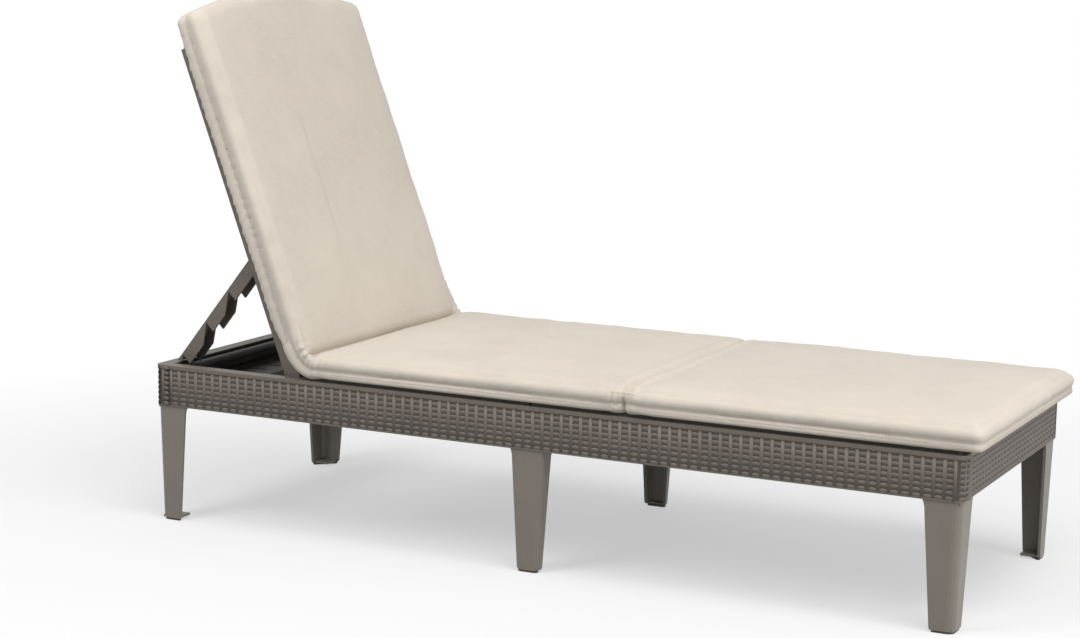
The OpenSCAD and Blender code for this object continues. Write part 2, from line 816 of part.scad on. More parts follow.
// The bottom rail joins the stiles just above the pivot
module backrest_bottom_rail() {
    half = stile_inner - pin_head_thickness - 2 * fit;
    color(resin) placed() on_backrest() difference() {
        union() {
            translate([bottom_rail_start, -half, face_depth - bottom_rail_depth])
                cube([bottom_rail_end - bottom_rail_start, 2 * half, bottom_rail_depth]);
            panel_ledge_plate(bottom_rail_end - fit, half);
        }
        translate([bottom_rail_start + stile_wall, -half - over, -back_depth - over])
            cube([bottom_rail_end - bottom_rail_start - 2 * stile_wall,
                  2 * (half + over), backrest_depth + over - stile_wall]);
        panel_screw_bores();
    }
}

module backrest_panel() {
    reach_out = stile_inner - fit;
    rows = floor((panel_end - back_slot_start - slot_pitch) / slot_pitch);
    color(resin_dark) placed() on_backrest() difference() {
        translate([0, 0, panel_back]) linear_extrude(height = back_panel_thickness) difference() {
            translate([panel_start, -reach_out]) square([panel_end - panel_start, 2 * reach_out]);
            for (i = [0:rows])
                translate([back_slot_start + i * slot_pitch, 0]) slot_row(back_slot_length);
        }
        panel_screw_bores();
    }
}

module panel_screws() {
    reach_up = back_panel_thickness + panel_ledge_thickness - fit;
    color(steel) placed() on_backrest()
        for (x = panel_screw_places, i = [-1:1])
            translate([x, i * panel_screw_y, face_depth - fit]) mirror([0, 0, 1])
                screw(reach_up);
}

module prop_pins() {
    length = stile_outer - stile_wall - prop_inner;
    color(steel) placed() on_backrest()
        for (side = [-1, 1])
            on_side(side)
                translate([prop_hinge_up, stile_outer - stile_wall - fit, prop_hinge_depth])
                    rotate([90, 0, 0]) {
                        cylinder(r = prop_pin_radius, h = length + running_gap);
                        translate([0, 0, length + running_gap / 2])
                            cylinder(r = prop_pin_end_radius, h = prop_pin_end_thickness);
                    }
}

// A prop arm's side outline: a straight back, three saw-tooth notches and a level end
function notch_points(s) = [
    [s + notch_undercut, -prop_below],
    [s, notch_top],
    [s + notch_apex_width, notch_top],
    [s + notch_ramp, -prop_below]
];
// The ramp below the last notch is cut off by the arm's level end
function ramp_share(s) = (arm_end(notch_top) - s - notch_apex_width)
    / (notch_ramp - notch_apex_width + (notch_top + prop_below) / tan(prop_slope));
function last_notch(s, share) = [
    [s + notch_undercut, -prop_below],
    [s, notch_top],
    [s + notch_apex_width, notch_top],
    [s + notch_apex_width + share * (notch_ramp - notch_apex_width),
     notch_top - share * (notch_top + prop_below)]
];
arm_outline = concat(
    [[0, -prop_below]],
    notch_points(notch_places[0]),
    notch_points(notch_places[1]),
    last_notch(notch_places[2], ramp_share(notch_places[2])),
    [[arm_end(prop_above), prop_above], [0, prop_above]]
);

module arm_cheek(outer) {
    along_y(outer - prop_wall, outer) difference() {
        union() {
            polygon(arm_outline);
            circle(r = prop_boss_radius);
        }
        circle(r = prop_pin_radius + fit);
    }
}

module prop_arm(side) {
    color(resin) placed() on_prop() on_side(side) {
        arm_cheek(prop_outer);
        arm_cheek(prop_inner + prop_wall);
        along_y(prop_inner, prop_outer)
            polygon([[prop_boss_radius, notch_top], [arm_end(notch_top), notch_top],
                     [arm_end(prop_above), prop_above], [prop_boss_radius, prop_above]]);
    }
}

module prop_arm_left() prop_arm(1);
module prop_arm_right() prop_arm(-1);

module prop_cross_bar() {
    reach_out = prop_inner - fit;
    color(steel) placed() on_prop()
        translate([cross_bar_along, reach_out, -cross_bar_below])
            rotate([90, 0, 0]) cylinder(r = cross_bar_radius, h = 2 * reach_out);
}

// Plan outline of a cushion section between two ends, drawn in by an inset all round
function plan(from, to, half, inset, corners) = let(
    a = max(corners[0] - inset, corners[0] * least_corner_share),
    b = max(corners[1] - inset, corners[1] * least_corner_share),
    x0 = from + inset,
    x1 = to - inset,
    y1 = half - inset
) concat(
    run([x0 + a, -y1], [x1 - b, -y1], long_steps),
    arc([x1 - b, b - y1], b, 270, 360, corner_steps),
    run([x1, b - y1], [x1, y1 - b], end_steps),
    arc([x1 - b, y1 - b], b, 0, 90, corner_steps),
    run([x1 - b, y1], [x0 + a, y1], long_steps),
    arc([x0 + a, y1 - a], a, 90, 180, corner_steps),
    run([x0, y1 - a], [x0, a - y1], end_steps),
    arc([x0 + a, a - y1], a, 180, 270, corner_steps)
);

// An end that is sewn to the next section is drawn in less, and has tighter corners
function end_corner(joined) = joined ? joint_corner : cushion_corner;
function end_tight(joined, inset) = joined
    ? joint_tight * min(inset, side_inset_shares[len(side_inset_shares) - 1] * cushion_thickness)
    : 0;

// A ring of the section at one height: sides drawn in, far end arched, and at the hinge a near
// end that slopes with the mitre and is rounded off below
function ring(from, to, half, inset, z, arch, slope, joined) = [
    for (p = plan(from - end_tight(joined[0], inset), to + end_tight(joined[1], inset),
                  half, inset, [end_corner(joined[0]), end_corner(joined[1])])) let(
        along = (p[0] - from) / (to - from),
        across = p[1] / half,
        near = max(0, 1 - hinge_end_share * along),
        below = max(0, 1 - z / cushion_thickness),
        rounding = slope > 0 ? hinge_round * pow(below, hinge_round_power) : 0
    ) [
        p[0] + arch * (1 - across * across) * pow(along, arch_power)
            + (slope * z + rounding) * near,
        p[1] * (1 - side_draw / half * (1 - pow(2 * along - 1, 2))),
        z
    ]
];

function side_rings(from, to, half, arch, slope, joined) = [
    for (i = [0:len(side_inset_shares) - 1])
        ring(from, to, half, side_inset_shares[i] * cushion_thickness,
             side_height_shares[i] * cushion_thickness, arch, slope, joined)
];
function crown_rings(from, to, half, arch, slope, joined) = [
    for (i = [0:len(crown_inset_shares) - 1])
        ring(from, to, half, crown_inset_shares[i] * half,
             cushion_thickness + crown_height_shares[i] * cushion_crown, arch, slope, joined)
];

module cushion_section(from, to, half, arch, slope, joined) {
    loft(concat(side_rings(from, to, half, arch, slope, joined),
                crown_rings(from, to, half, arch, slope, joined)));
}

// The seat's rear end slopes with the mitre between the seat and the back
seat_rear = pivot_x + back_cushion_back - mitre_close;

module seat_cushion() {
    color(fabric) placed() translate([0, 0, cushion_z])
        cushion_section(seat_rear, section_joint - section_gap / 2, cushion_width / 2, 0,
                        tan(rest_angle / 2), [true, true]);
}

module leg_cushion() {
    color(fabric) placed() translate([0, 0, cushion_z])
        cushion_section(section_joint + section_gap / 2, base_length + foot_overhang,
                        cushion_width / 2, 0, 0, [true, false]);
}

module back_cushion() {
    color(fabric) placed() on_backrest() translate([0, 0, back_cushion_back])
        cushion_section(back_cushion_back + hinge_gap, back_cushion_length,
                        back_cushion_width / 2, back_arch, tan(rest_angle / 2),
                        [true, false]);
}

side_rail_left();
side_rail_right();
head_rail();
foot_rail();
leg_head_left();
leg_head_right();
leg_mid_left();
leg_mid_right();
leg_foot_left();
leg_foot_right();
leg_glides();
leg_screws();
seat_deck();
leg_deck();
deck_screws();
hinge_beam();
mid_beam();
leg_beam();
bay_shelf();
rest_bar();
pivot_bracket_left();
pivot_bracket_right();
pivot_pin_left();
pivot_pin_right();
seat_cushion();
leg_cushion();
backrest_stile_left();
backrest_stile_right();
backrest_top_rail();
backrest_bottom_rail();
backrest_panel();
panel_screws();
prop_pins();
back_cushion();
prop_arm_left();
prop_arm_right();
prop_cross_bar();
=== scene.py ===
import json
import math

import bmesh
import bpy
import numpy as np
from mathutils import Matrix, Vector, noise


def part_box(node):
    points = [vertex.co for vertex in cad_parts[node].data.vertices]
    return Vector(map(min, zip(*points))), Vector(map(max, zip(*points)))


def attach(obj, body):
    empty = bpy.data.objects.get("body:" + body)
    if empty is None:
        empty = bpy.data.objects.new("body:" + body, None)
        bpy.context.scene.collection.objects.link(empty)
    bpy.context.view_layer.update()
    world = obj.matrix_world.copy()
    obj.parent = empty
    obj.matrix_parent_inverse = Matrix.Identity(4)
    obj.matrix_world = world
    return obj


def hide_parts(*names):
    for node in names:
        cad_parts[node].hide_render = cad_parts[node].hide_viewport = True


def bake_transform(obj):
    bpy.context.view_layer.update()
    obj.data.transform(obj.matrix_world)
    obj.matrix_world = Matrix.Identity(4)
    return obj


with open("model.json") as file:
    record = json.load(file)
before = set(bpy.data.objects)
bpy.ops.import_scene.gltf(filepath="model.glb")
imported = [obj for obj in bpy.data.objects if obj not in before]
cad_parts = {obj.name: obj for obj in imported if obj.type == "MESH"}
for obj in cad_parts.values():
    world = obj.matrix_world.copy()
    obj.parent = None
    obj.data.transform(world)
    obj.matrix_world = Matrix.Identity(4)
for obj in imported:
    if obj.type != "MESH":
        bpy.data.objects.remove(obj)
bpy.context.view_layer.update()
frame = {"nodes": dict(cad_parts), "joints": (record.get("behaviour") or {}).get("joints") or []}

bl_info = {
    "name": "Relaxation lounger looks",
    "version": (1, 0, 0),
    "blender": (4, 5, 0),
    "location": "View3D > Sidebar > Lounger",
    "description": "Dresses the lounger's frame with woven aprons, cushions and finishes",
    "category": "Object",
}


def corners(node):
    """Lowest and highest corner of a CAD node at rest, in metres."""
    low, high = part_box(node)
    return np.array(low, float), np.array(high, float)


SIDE_LOW, SIDE_HIGH = corners("side_rail_right")
FAR_HIGH = corners("side_rail_left")[1]
SEAT_HIGH = corners("seat_cushion")[1]
STILE_OUTER = -corners("backrest_stile_right")[0][1]
HINGE = [j for j in frame["joints"] if j["name"] == "backrest_hinge"][0]


def placed(name, data):
    """An object with this data, linked into the scene's collection."""
    made = bpy.data.objects.new(name, data)
    bpy.context.collection.objects.link(made)
    return made


def mesh_of(name, bm):
    """The mesh that a bmesh holds; the bmesh is freed."""
    mesh = bpy.data.meshes.new(name)
    bm.to_mesh(mesh)
    bm.free()
    return mesh


def linear(colour_hex):
    """An sRGB hex colour as the linear values that Blender's sockets hold."""
    parts = [int(colour_hex[i : i + 2], 16) / 255 for i in (0, 2, 4)]
    return [c / 12.92 if c <= 0.04045 else ((c + 0.055) / 1.055) ** 2.4 for c in parts]


def colour_property(name, description, colour_hex):
    """A colour that a user can change, with its default given as sRGB hex."""
    return bpy.props.FloatVectorProperty(
        name=name,
        description=description,
        subtype="COLOR",
        size=3,
        min=0.0,
        max=1.0,
        default=linear(colour_hex),
    )


def length_property(name, description, metres):
    """A length that a user can change, in metres."""
    return bpy.props.FloatProperty(
        name=name, description=description, default=metres, min=0.0, unit="LENGTH", precision=5
    )


class LoungerWeave(bpy.types.PropertyGroup):
    """Sizes of the woven pattern that is moulded into the aprons"""

    stake_pitch: length_property("Stake pitch", "From one upright stake to the next", 0.018)
    stake_width: length_property("Stake width", "Width of an upright stake", 0.0072)
    strand_height: length_property("Strand height", "Height of one level strand", 0.0073)
    relief: length_property("Relief", "How far the strands stand out of the apron's wall", 0.0011)
    strand_rows: bpy.props.IntProperty(
        name="Strand rows", description="Rows of strands, one above the other", default=8, min=2,
        max=14,
    )
    band_bottom: length_property("Band bottom", "Height where the woven band starts", 0.2159)
    band_top: length_property("Band top", "Height where the woven band ends", 0.2899)
    wall_inset: length_property("Wall inset", "Depth of the band's wall behind the rim", 0.002)


class LoungerCushion(bpy.types.PropertyGroup):
    """Make-up of the three cushion sections"""

    voxel: length_property("Voxel", "Mesh size that the cloth simulation works on", 0.0065)
    shrink: length_property("Shrink", "How far a section is drawn in before it is stuffed", 0.003)
    swell_limit: length_property("Swell limit", "Farthest that stuffing moves the cover", 0.006)
    pressure: bpy.props.FloatProperty(
        name="Pressure", description="Pressure of the stuffing on the cover", default=4.0, min=0.0
    )
    seam_depth: length_property("Seam depth", "Depth of the crease along the border's seam", 0.0026)
    valley: length_property("Valley", "How far a seam between two sections draws them in", 0.004)
    hang: length_property("Hang", "How far the back section's border hangs over the stiles", 0.012)
    stitch_pitch: length_property("Stitch pitch", "Distance from one stitch to the next", 0.0062)
    thread_radius: length_property("Thread radius", "Radius of the sewing thread", 0.00045)


class LoungerFinish(bpy.types.PropertyGroup):
    """Colours of the resin, the fabric, the metal and the studio"""

    apron: colour_property("Apron resin", "Woven aprons and rims", "6f685f")
    # Painted light: the aprons' resin, painted lighter for the light that falls on the legs
    leg: colour_property("Leg resin, painted lit", "Legs", "857e75")
    # Painted shade: the resin darkened for the shade inside the frame, in the bay under the
    # backrest and on the decks and beams
    inner: colour_property("Inner resin, painted shade", "Decks, beams and the bay under the backrest", "2e2823")
    # Painted shade: the resin darkened for the shade at the bottom of the slits between the strands
    slit_shade: colour_property("Slit resin, painted shade", "Bottom of the slits between the strands", "4d463f")
    fabric: colour_property("Cushion fabric", "Woven cushion cover", "dcd2c5")
    thread: colour_property("Thread", "Sewing thread", "c8bdae")
    rubber: colour_property("Rubber", "Glides under the legs", "5d5750")
    steel: colour_property("Steel", "Screws and pins", "b9bbbd")
    floor: colour_property("Floor", "Studio floor", "f0f0f0")


def add(tree, kind, settings=None, **inputs):
    """One node of a tree, with its settings, and with values or links on its inputs."""
    node = tree.nodes.new(kind)
    for name, value in (settings or {}).items():
        setattr(node, name, value)
    for name, value in inputs.items():
        key = name.replace("_", " ")
        socket = node.inputs[int(name[1:])] if name[1:].isdigit() else node.inputs[key]
        if isinstance(value, bpy.types.NodeSocket):
            tree.links.new(value, socket)
        else:
            socket.default_value = value
    return node


def rgba(colour):
    return (colour[0], colour[1], colour[2], 1.0)


def shade(colour, factor):
    """The same colour, lighter or darker by a factor."""
    return tuple(min(1.0, c * factor) for c in colour)


def new_material(name):
    material = bpy.data.materials.new(name)
    material.use_nodes = True
    material.node_tree.nodes.clear()
    return material, material.node_tree


def finish_material(tree, shader):
    add(tree, "ShaderNodeOutputMaterial", Surface=shader.outputs[0])


def mix_colour(tree, factor, a, b):
    """A colour between a and b by factor."""
    return add(
        tree, "ShaderNodeMix", {"data_type": "RGBA"}, i0=factor, i6=a, i7=b
    ).outputs[2]


def object_place(tree, scale=(1, 1, 1), turn=(0, 0, 0)):
    """The surface's own place in metres, scaled and turned for a pattern."""
    place = add(tree, "ShaderNodeTexCoord").outputs["Object"]
    return add(tree, "ShaderNodeMapping", Vector=place, Scale=scale, Rotation=turn).outputs[0]


def moulded_resin(name, colour, roughness, mottle=0.10, grain=0.0009, bump=0.22):
    """Polypropylene, injection moulded against a spark-eroded tool: a fine grain that breaks up
    its dull gloss, slightly cloudy colour where the melt cooled unevenly, and small paler and
    darker specks."""
    material, tree = new_material(name)
    place = object_place(tree)
    cloud = add(tree, "ShaderNodeTexNoise", Vector=place, Scale=1 / 0.07, Detail=3.0).outputs[0]
    speck = add(tree, "ShaderNodeTexNoise", Vector=place, Scale=1 / 0.004, Detail=2.0).outputs[0]
    blend = add(tree, "ShaderNodeMath", {"operation": "MULTIPLY_ADD"}, i0=cloud, i1=0.6).outputs[0]
    tree.links.new(
        add(tree, "ShaderNodeMath", {"operation": "MULTIPLY"}, i0=speck, i1=0.4).outputs[0],
        blend.node.inputs[2],
    )
    tone = add(tree, "ShaderNodeMapRange", Value=blend, i1=0.36, i2=0.64).outputs[0]
    base = mix_colour(
        tree, tone, rgba(shade(colour, 1 - mottle)), rgba(shade(colour, 1 + mottle))
    )
    # The grain is about 0.3 mm on the real tool and is drawn coarser, so that it shows
    fine = add(tree, "ShaderNodeTexNoise", Vector=place, Scale=1 / grain, Detail=2.0).outputs[0]
    rough = add(
        tree, "ShaderNodeMapRange", Value=fine, i3=roughness - 0.06, i4=roughness + 0.08
    ).outputs[0]
    relief = add(
        tree, "ShaderNodeBump", Height=fine, Strength=bump, Distance=0.0004
    ).outputs[0]
    shader = add(
        tree, "ShaderNodeBsdfPrincipled", Base_Color=base, Roughness=rough, Normal=relief, IOR=1.49
    )
    finish_material(tree, shader)
    return material


def woven_fabric(name, colour, dark, light):
    """Polyester canvas for outdoor cushions, plain woven from slub yarn: thick and thin threads
    both ways, a dull surface with a little sheen at grazing angles, and soft, cloudy shading
    where the stuffing carries the cover unevenly."""
    material, tree = new_material(name)
    place = add(tree, "ShaderNodeUVMap", {"uv_map": "cover"}).outputs[0]
    # The real thread is about 0.5 mm and is drawn at 1.1 mm, so that it shows
    pitch, slub_length, slub_width = 0.0011, 0.03, 0.0016
    warp = add(
        tree, "ShaderNodeTexWave", {"wave_type": "BANDS", "bands_direction": "X"},
        Vector=place, Scale=1 / (pitch * 20 / math.pi), Distortion=1.2, Detail=1.0,
    ).outputs[1]
    weft = add(
        tree, "ShaderNodeTexWave", {"wave_type": "BANDS", "bands_direction": "Y"},
        Vector=place, Scale=1 / (pitch * 20 / math.pi), Distortion=1.2, Detail=1.0,
    ).outputs[1]
    cloth = add(tree, "ShaderNodeMath", {"operation": "MULTIPLY"}, i0=warp, i1=weft).outputs[0]
    slub_x = add(
        tree, "ShaderNodeTexNoise", Scale=1.0, Detail=2.0,
        Vector=add(
            tree, "ShaderNodeMapping", Vector=place, Scale=(1 / slub_length, 1 / slub_width, 1)
        ).outputs[0],
    ).outputs[0]
    slub_y = add(
        tree, "ShaderNodeTexNoise", Scale=1.0, Detail=2.0,
        Vector=add(
            tree, "ShaderNodeMapping", Vector=place, Scale=(1 / slub_width, 1 / slub_length, 1)
        ).outputs[0],
    ).outputs[0]
    slub = add(tree, "ShaderNodeMath", {"operation": "ADD"}, i0=slub_x, i1=slub_y).outputs[0]
    slub = add(tree, "ShaderNodeMapRange", Value=slub, i1=0.7, i2=1.3).outputs[0]
    cloud = add(
        tree, "ShaderNodeTexNoise", Vector=object_place(tree), Scale=1 / 0.16, Detail=4.0,
        Roughness=0.6,
    ).outputs[0]
    cloud = add(tree, "ShaderNodeMapRange", Value=cloud, i1=0.38, i2=0.62).outputs[0]
    base = mix_colour(tree, cloud, rgba(shade(colour, dark)), rgba(shade(colour, light)))
    base = mix_colour(tree, slub, base, rgba(shade(colour, light)))
    # Painted shade: the colour is darkened where the threads dip, for the shade that falls between
    # them
    sunk = add(tree, "ShaderNodeMapRange", Value=cloth, i3=0.90, i4=1.0).outputs[0]
    thread_gap_shade = add(tree, "ShaderNodeCombineColor", i0=sunk, i1=sunk, i2=sunk).outputs[0]
    base = add(
        tree, "ShaderNodeMix", {"data_type": "RGBA", "blend_type": "MULTIPLY"},
        i0=1.0, i6=base, i7=thread_gap_shade,
    ).outputs[2]
    height = add(tree, "ShaderNodeMath", {"operation": "ADD"}, i0=cloth, i1=slub).outputs[0]
    relief = add(
        tree, "ShaderNodeBump", Height=height, Strength=0.35, Distance=0.00025
    ).outputs[0]
    shader = add(
        tree, "ShaderNodeBsdfPrincipled", Base_Color=base, Roughness=0.88, Normal=relief,
        Sheen_Weight=0.15, Sheen_Roughness=0.5,
    )
    finish_material(tree, shader)
    return material


def spun_thread(name, colour):
    """Bonded polyester thread: two plies twisted round each other, with a soft gloss."""
    material, tree = new_material(name)
    ply = add(
        tree, "ShaderNodeTexWave", {"bands_direction": "DIAGONAL"},
        Vector=object_place(tree), Scale=1 / (0.0009 * 20 / math.pi),
    ).outputs[1]
    # Painted shade: darker in the grooves between the twisted plies
    base = mix_colour(tree, ply, rgba(shade(colour, 0.8)), rgba(colour))
    relief = add(tree, "ShaderNodeBump", Height=ply, Strength=0.3, Distance=0.0001).outputs[0]
    shader = add(
        tree, "ShaderNodeBsdfPrincipled", Base_Color=base, Roughness=0.55, Normal=relief
    )
    finish_material(tree, shader)
    return material


def zinc_plated_steel(name, colour):
    """Zinc-plated steel, turned and then plated: a bright, faintly bluish metal with fine turning
    marks and duller patches."""
    material, tree = new_material(name)
    place = object_place(tree)
    patch = add(tree, "ShaderNodeTexNoise", Vector=place, Scale=1 / 0.006, Detail=3.0).outputs[0]
    rough = add(tree, "ShaderNodeMapRange", Value=patch, i3=0.24, i4=0.44).outputs[0]
    mark = add(tree, "ShaderNodeTexNoise", Vector=place, Scale=1 / 0.0007).outputs[0]
    relief = add(tree, "ShaderNodeBump", Height=mark, Strength=0.15, Distance=0.0001).outputs[0]
    base = mix_colour(tree, patch, rgba(shade(colour, 0.86)), rgba(colour))
    shader = add(
        tree, "ShaderNodeBsdfPrincipled", Base_Color=base, Roughness=rough, Normal=relief,
        Metallic=1.0,
    )
    finish_material(tree, shader)
    return material


def moulded_rubber(name, colour):
    """Natural rubber, pressed in a mould: almost no gloss, with a dusty bloom on it."""
    material, tree = new_material(name)
    place = object_place(tree)
    bloom = add(tree, "ShaderNodeTexNoise", Vector=place, Scale=1 / 0.012, Detail=4.0).outputs[0]
    base = mix_colour(tree, bloom, rgba(shade(colour, 0.75)), rgba(shade(colour, 1.5)))
    grain = add(tree, "ShaderNodeTexNoise", Vector=place, Scale=1 / 0.001).outputs[0]
    relief = add(tree, "ShaderNodeBump", Height=grain, Strength=0.25, Distance=0.0003).outputs[0]
    shader = add(
        tree, "ShaderNodeBsdfPrincipled", Base_Color=base, Roughness=0.82, Normal=relief
    )
    finish_material(tree, shader)
    return material


def finish_material_named(name):
    """A finish made earlier by the finishes operator."""
    material = bpy.data.materials.get(name)
    if material is None:
        raise RuntimeError(f"make the finishes first: there is no material {name}")
    return material


def new_tree(name, sizes, counts=()):
    """A Geometry Nodes tree with a geometry and a material input, a length input for each size,
    and a whole-number input for each count."""
    tree = bpy.data.node_groups.new(name, "GeometryNodeTree")
    face = tree.interface
    face.new_socket("Geometry", in_out="INPUT", socket_type="NodeSocketGeometry")
    for size in sizes:
        socket = face.new_socket(size, in_out="INPUT", socket_type="NodeSocketFloat")
        socket.subtype = "DISTANCE"
    for count in counts:
        face.new_socket(count, in_out="INPUT", socket_type="NodeSocketInt")
    face.new_socket("Material", in_out="INPUT", socket_type="NodeSocketMaterial")
    face.new_socket("Geometry", in_out="OUTPUT", socket_type="NodeSocketGeometry")
    return tree, tree.nodes.new("NodeGroupInput")


def close_tree(tree, start, instances):
    """Ends a tree: the instances are made real, shaded smooth, and given the material."""
    real = add(tree, "GeometryNodeRealizeInstances", Geometry=instances)
    smooth = add(tree, "GeometryNodeSetShadeSmooth", Geometry=real.outputs[0])
    painted = add(
        tree, "GeometryNodeSetMaterial", Geometry=smooth.outputs[0],
        Material=start.outputs["Material"],
    )
    add(tree, "NodeGroupOutput", Geometry=painted.outputs[0])


def grown(name, mesh, tree, values, material):
    """Runs a tree on a mesh and returns the plain mesh object that it makes."""
    seed = placed(name + "_seed", mesh)
    modifier = seed.modifiers.new(tree.name, "NODES")
    modifier.node_group = tree
    keys = {s.name: s.identifier for s in tree.interface.items_tree if s.in_out == "INPUT"}
    for key, value in values.items():
        modifier[keys[key]] = value
    modifier[keys["Material"]] = material
    seed.update_tag()
    bpy.context.view_layer.update()
    evaluated = seed.evaluated_get(bpy.context.evaluated_depsgraph_get())
    made = bpy.data.meshes.new_from_object(evaluated)
    seed.modifiers.clear()
    bpy.data.objects.remove(seed)
    if not made.polygons:
        raise RuntimeError(f"{name}: its tree made nothing")
    made.name = name
    return placed(name, made)


def path_mesh(name, points, closed):
    """Points joined by edges, for a tree to follow."""
    mesh = bpy.data.meshes.new(name)
    edges = [(i, i + 1) for i in range(len(points) - 1)]
    if closed:
        edges.append((len(points) - 1, 0))
    mesh.from_pydata([tuple(p) for p in points], edges, [])
    return mesh


def along_path(tree, start, pitch_name, pivot_axis):
    """Points a pitch apart along the path, and the turn that faces its direction."""
    curve = add(tree, "GeometryNodeMeshToCurve", Mesh=start.outputs["Geometry"])
    points = add(
        tree, "GeometryNodeResampleCurve", {"mode": "LENGTH"},
        Curve=curve.outputs[0], Length=start.outputs[pitch_name],
    )
    tangent = add(tree, "GeometryNodeInputTangent").outputs[0]
    turn = add(
        tree, "FunctionNodeAlignRotationToVector", {"axis": "X", "pivot_axis": pivot_axis},
        Vector=tangent,
    ).outputs[0]
    return points.outputs[0], turn


def weave_tree():
    """A moulded weave: on each point of the path stands a stake, and between it and the next lie
    level strands, each a pillow that dips under the stakes at both ends."""
    tree, start = new_tree(
        "moulded_weave",
        ["Stake Pitch", "Stake Width", "Strand Height", "Relief", "Band Bottom", "Band Top"],
        ["Rows"],
    )
    size = {s.name: s for s in start.outputs}

    def maths(kind, a, b):
        return add(tree, "ShaderNodeMath", {"operation": kind}, i0=a, i1=b).outputs[0]

    tall = maths("SUBTRACT", size["Band Top"], size["Band Bottom"])
    middle = maths("MULTIPLY", maths("ADD", size["Band Top"], size["Band Bottom"]), 0.5)
    row_pitch = maths("DIVIDE", tall, size["Rows"])

    stake = add(
        tree, "GeometryNodeMeshCylinder", {"fill_type": "NGON"}, Vertices=10, Side_Segments=1,
        Radius=0.5, Depth=1.0,
    ).outputs[0]
    stake = add(
        tree, "GeometryNodeTransform", Geometry=stake,
        Translation=add(tree, "ShaderNodeCombineXYZ", Z=middle).outputs[0],
        Scale=add(
            tree, "ShaderNodeCombineXYZ", X=size["Stake Width"],
            Y=maths("MULTIPLY", size["Relief"], 1.7), Z=tall,
        ).outputs[0],
    ).outputs[0]

    strand = add(tree, "GeometryNodeMeshUVSphere", Segments=8, Rings=6, Radius=0.5).outputs[0]
    strand = add(
        tree, "GeometryNodeTransform", Geometry=strand, Rotation=(0, math.pi / 2, 0)
    ).outputs[0]
    strand = add(
        tree, "GeometryNodeTransform", Geometry=strand,
        Scale=add(
            tree, "ShaderNodeCombineXYZ",
            X=maths("SUBTRACT", size["Stake Pitch"], maths("MULTIPLY", size["Stake Width"], 0.35)),
            Y=maths("MULTIPLY", size["Relief"], 2.0), Z=size["Strand Height"],
        ).outputs[0],
    ).outputs[0]
    rows = add(
        tree, "GeometryNodeMeshLine", {"mode": "OFFSET"}, Count=size["Rows"],
        Start_Location=add(
            tree, "ShaderNodeCombineXYZ", X=maths("MULTIPLY", size["Stake Pitch"], 0.5),
            Z=maths("ADD", size["Band Bottom"], maths("MULTIPLY", row_pitch, 0.5)),
        ).outputs[0],
        Offset=add(tree, "ShaderNodeCombineXYZ", Z=row_pitch).outputs[0],
    ).outputs[0]
    strands = add(tree, "GeometryNodeInstanceOnPoints", Points=rows, Instance=strand).outputs[0]

    column = add(tree, "GeometryNodeJoinGeometry")
    tree.links.new(stake, column.inputs[0])
    tree.links.new(strands, column.inputs[0])
    points, turn = along_path(tree, start, "Stake Pitch", "Z")
    columns = add(
        tree, "GeometryNodeInstanceOnPoints", Points=points,
        Instance=add(
            tree, "GeometryNodeGeometryToInstance", Geometry=column.outputs[0]
        ).outputs[0],
        Rotation=turn,
    ).outputs[0]
    close_tree(tree, start, columns)
    return tree


def stitch_tree():
    """Stitches along a seam: short, fat capsules of thread, a pitch apart, laid along the path."""
    tree, start = new_tree("stitches", ["Stitch Pitch", "Stitch Length", "Thread Radius"])
    size = {s.name: s for s in start.outputs}
    stitch = add(tree, "GeometryNodeMeshUVSphere", Segments=6, Rings=5, Radius=1.0).outputs[0]
    stitch = add(
        tree, "GeometryNodeTransform", Geometry=stitch, Rotation=(0, math.pi / 2, 0)
    ).outputs[0]
    half = add(tree, "ShaderNodeMath", {"operation": "MULTIPLY"}, i0=size["Stitch Length"], i1=0.5)
    stitch = add(
        tree, "GeometryNodeTransform", Geometry=stitch,
        Scale=add(
            tree, "ShaderNodeCombineXYZ", X=half.outputs[0], Y=size["Thread Radius"],
            Z=size["Thread Radius"],
        ).outputs[0],
    ).outputs[0]
    points, turn = along_path(tree, start, "Stitch Pitch", "AUTO")
    laid = add(
        tree, "GeometryNodeInstanceOnPoints", Points=points, Instance=stitch, Rotation=turn
    ).outputs[0]
    close_tree(tree, start, laid)
    return tree


def settings(context):
    """The weave, cushion and finish sizes kept on the scene."""
    scene = context.scene
    return scene.lounger_weave, scene.lounger_cushion, scene.lounger_finish


APRON_CORNER = 0.014
CORNER_STEPS = 8
SHADE_SHEET_THICKNESS = 0.0006
SHADE_SHEET_PROUD = 0.0003


def apron_path(inset):
    """The rounded rectangle of the apron's wall, set in from its outer face, as points with the
    outward face to the right of the way that they run."""
    x0, x1 = SIDE_LOW[0] + inset, SIDE_HIGH[0] - inset
    y0, y1 = SIDE_LOW[1] + inset, FAR_HIGH[1] - inset
    radius = APRON_CORNER - inset
    points = []
    for cx, cy, start in (
        (x1 - radius, y0 + radius, -90), (x1 - radius, y1 - radius, 0),
        (x0 + radius, y1 - radius, 90), (x0 + radius, y0 + radius, 180),
    ):
        for i in range(CORNER_STEPS + 1):
            a = math.radians(start + 90 * i / CORNER_STEPS)
            points.append((cx + radius * math.cos(a), cy + radius * math.sin(a), 0.0))
    return points


def loop_length(points):
    total = 0.0
    for i, p in enumerate(points):
        q = points[(i + 1) % len(points)]
        total += math.dist(p, q)
    return total


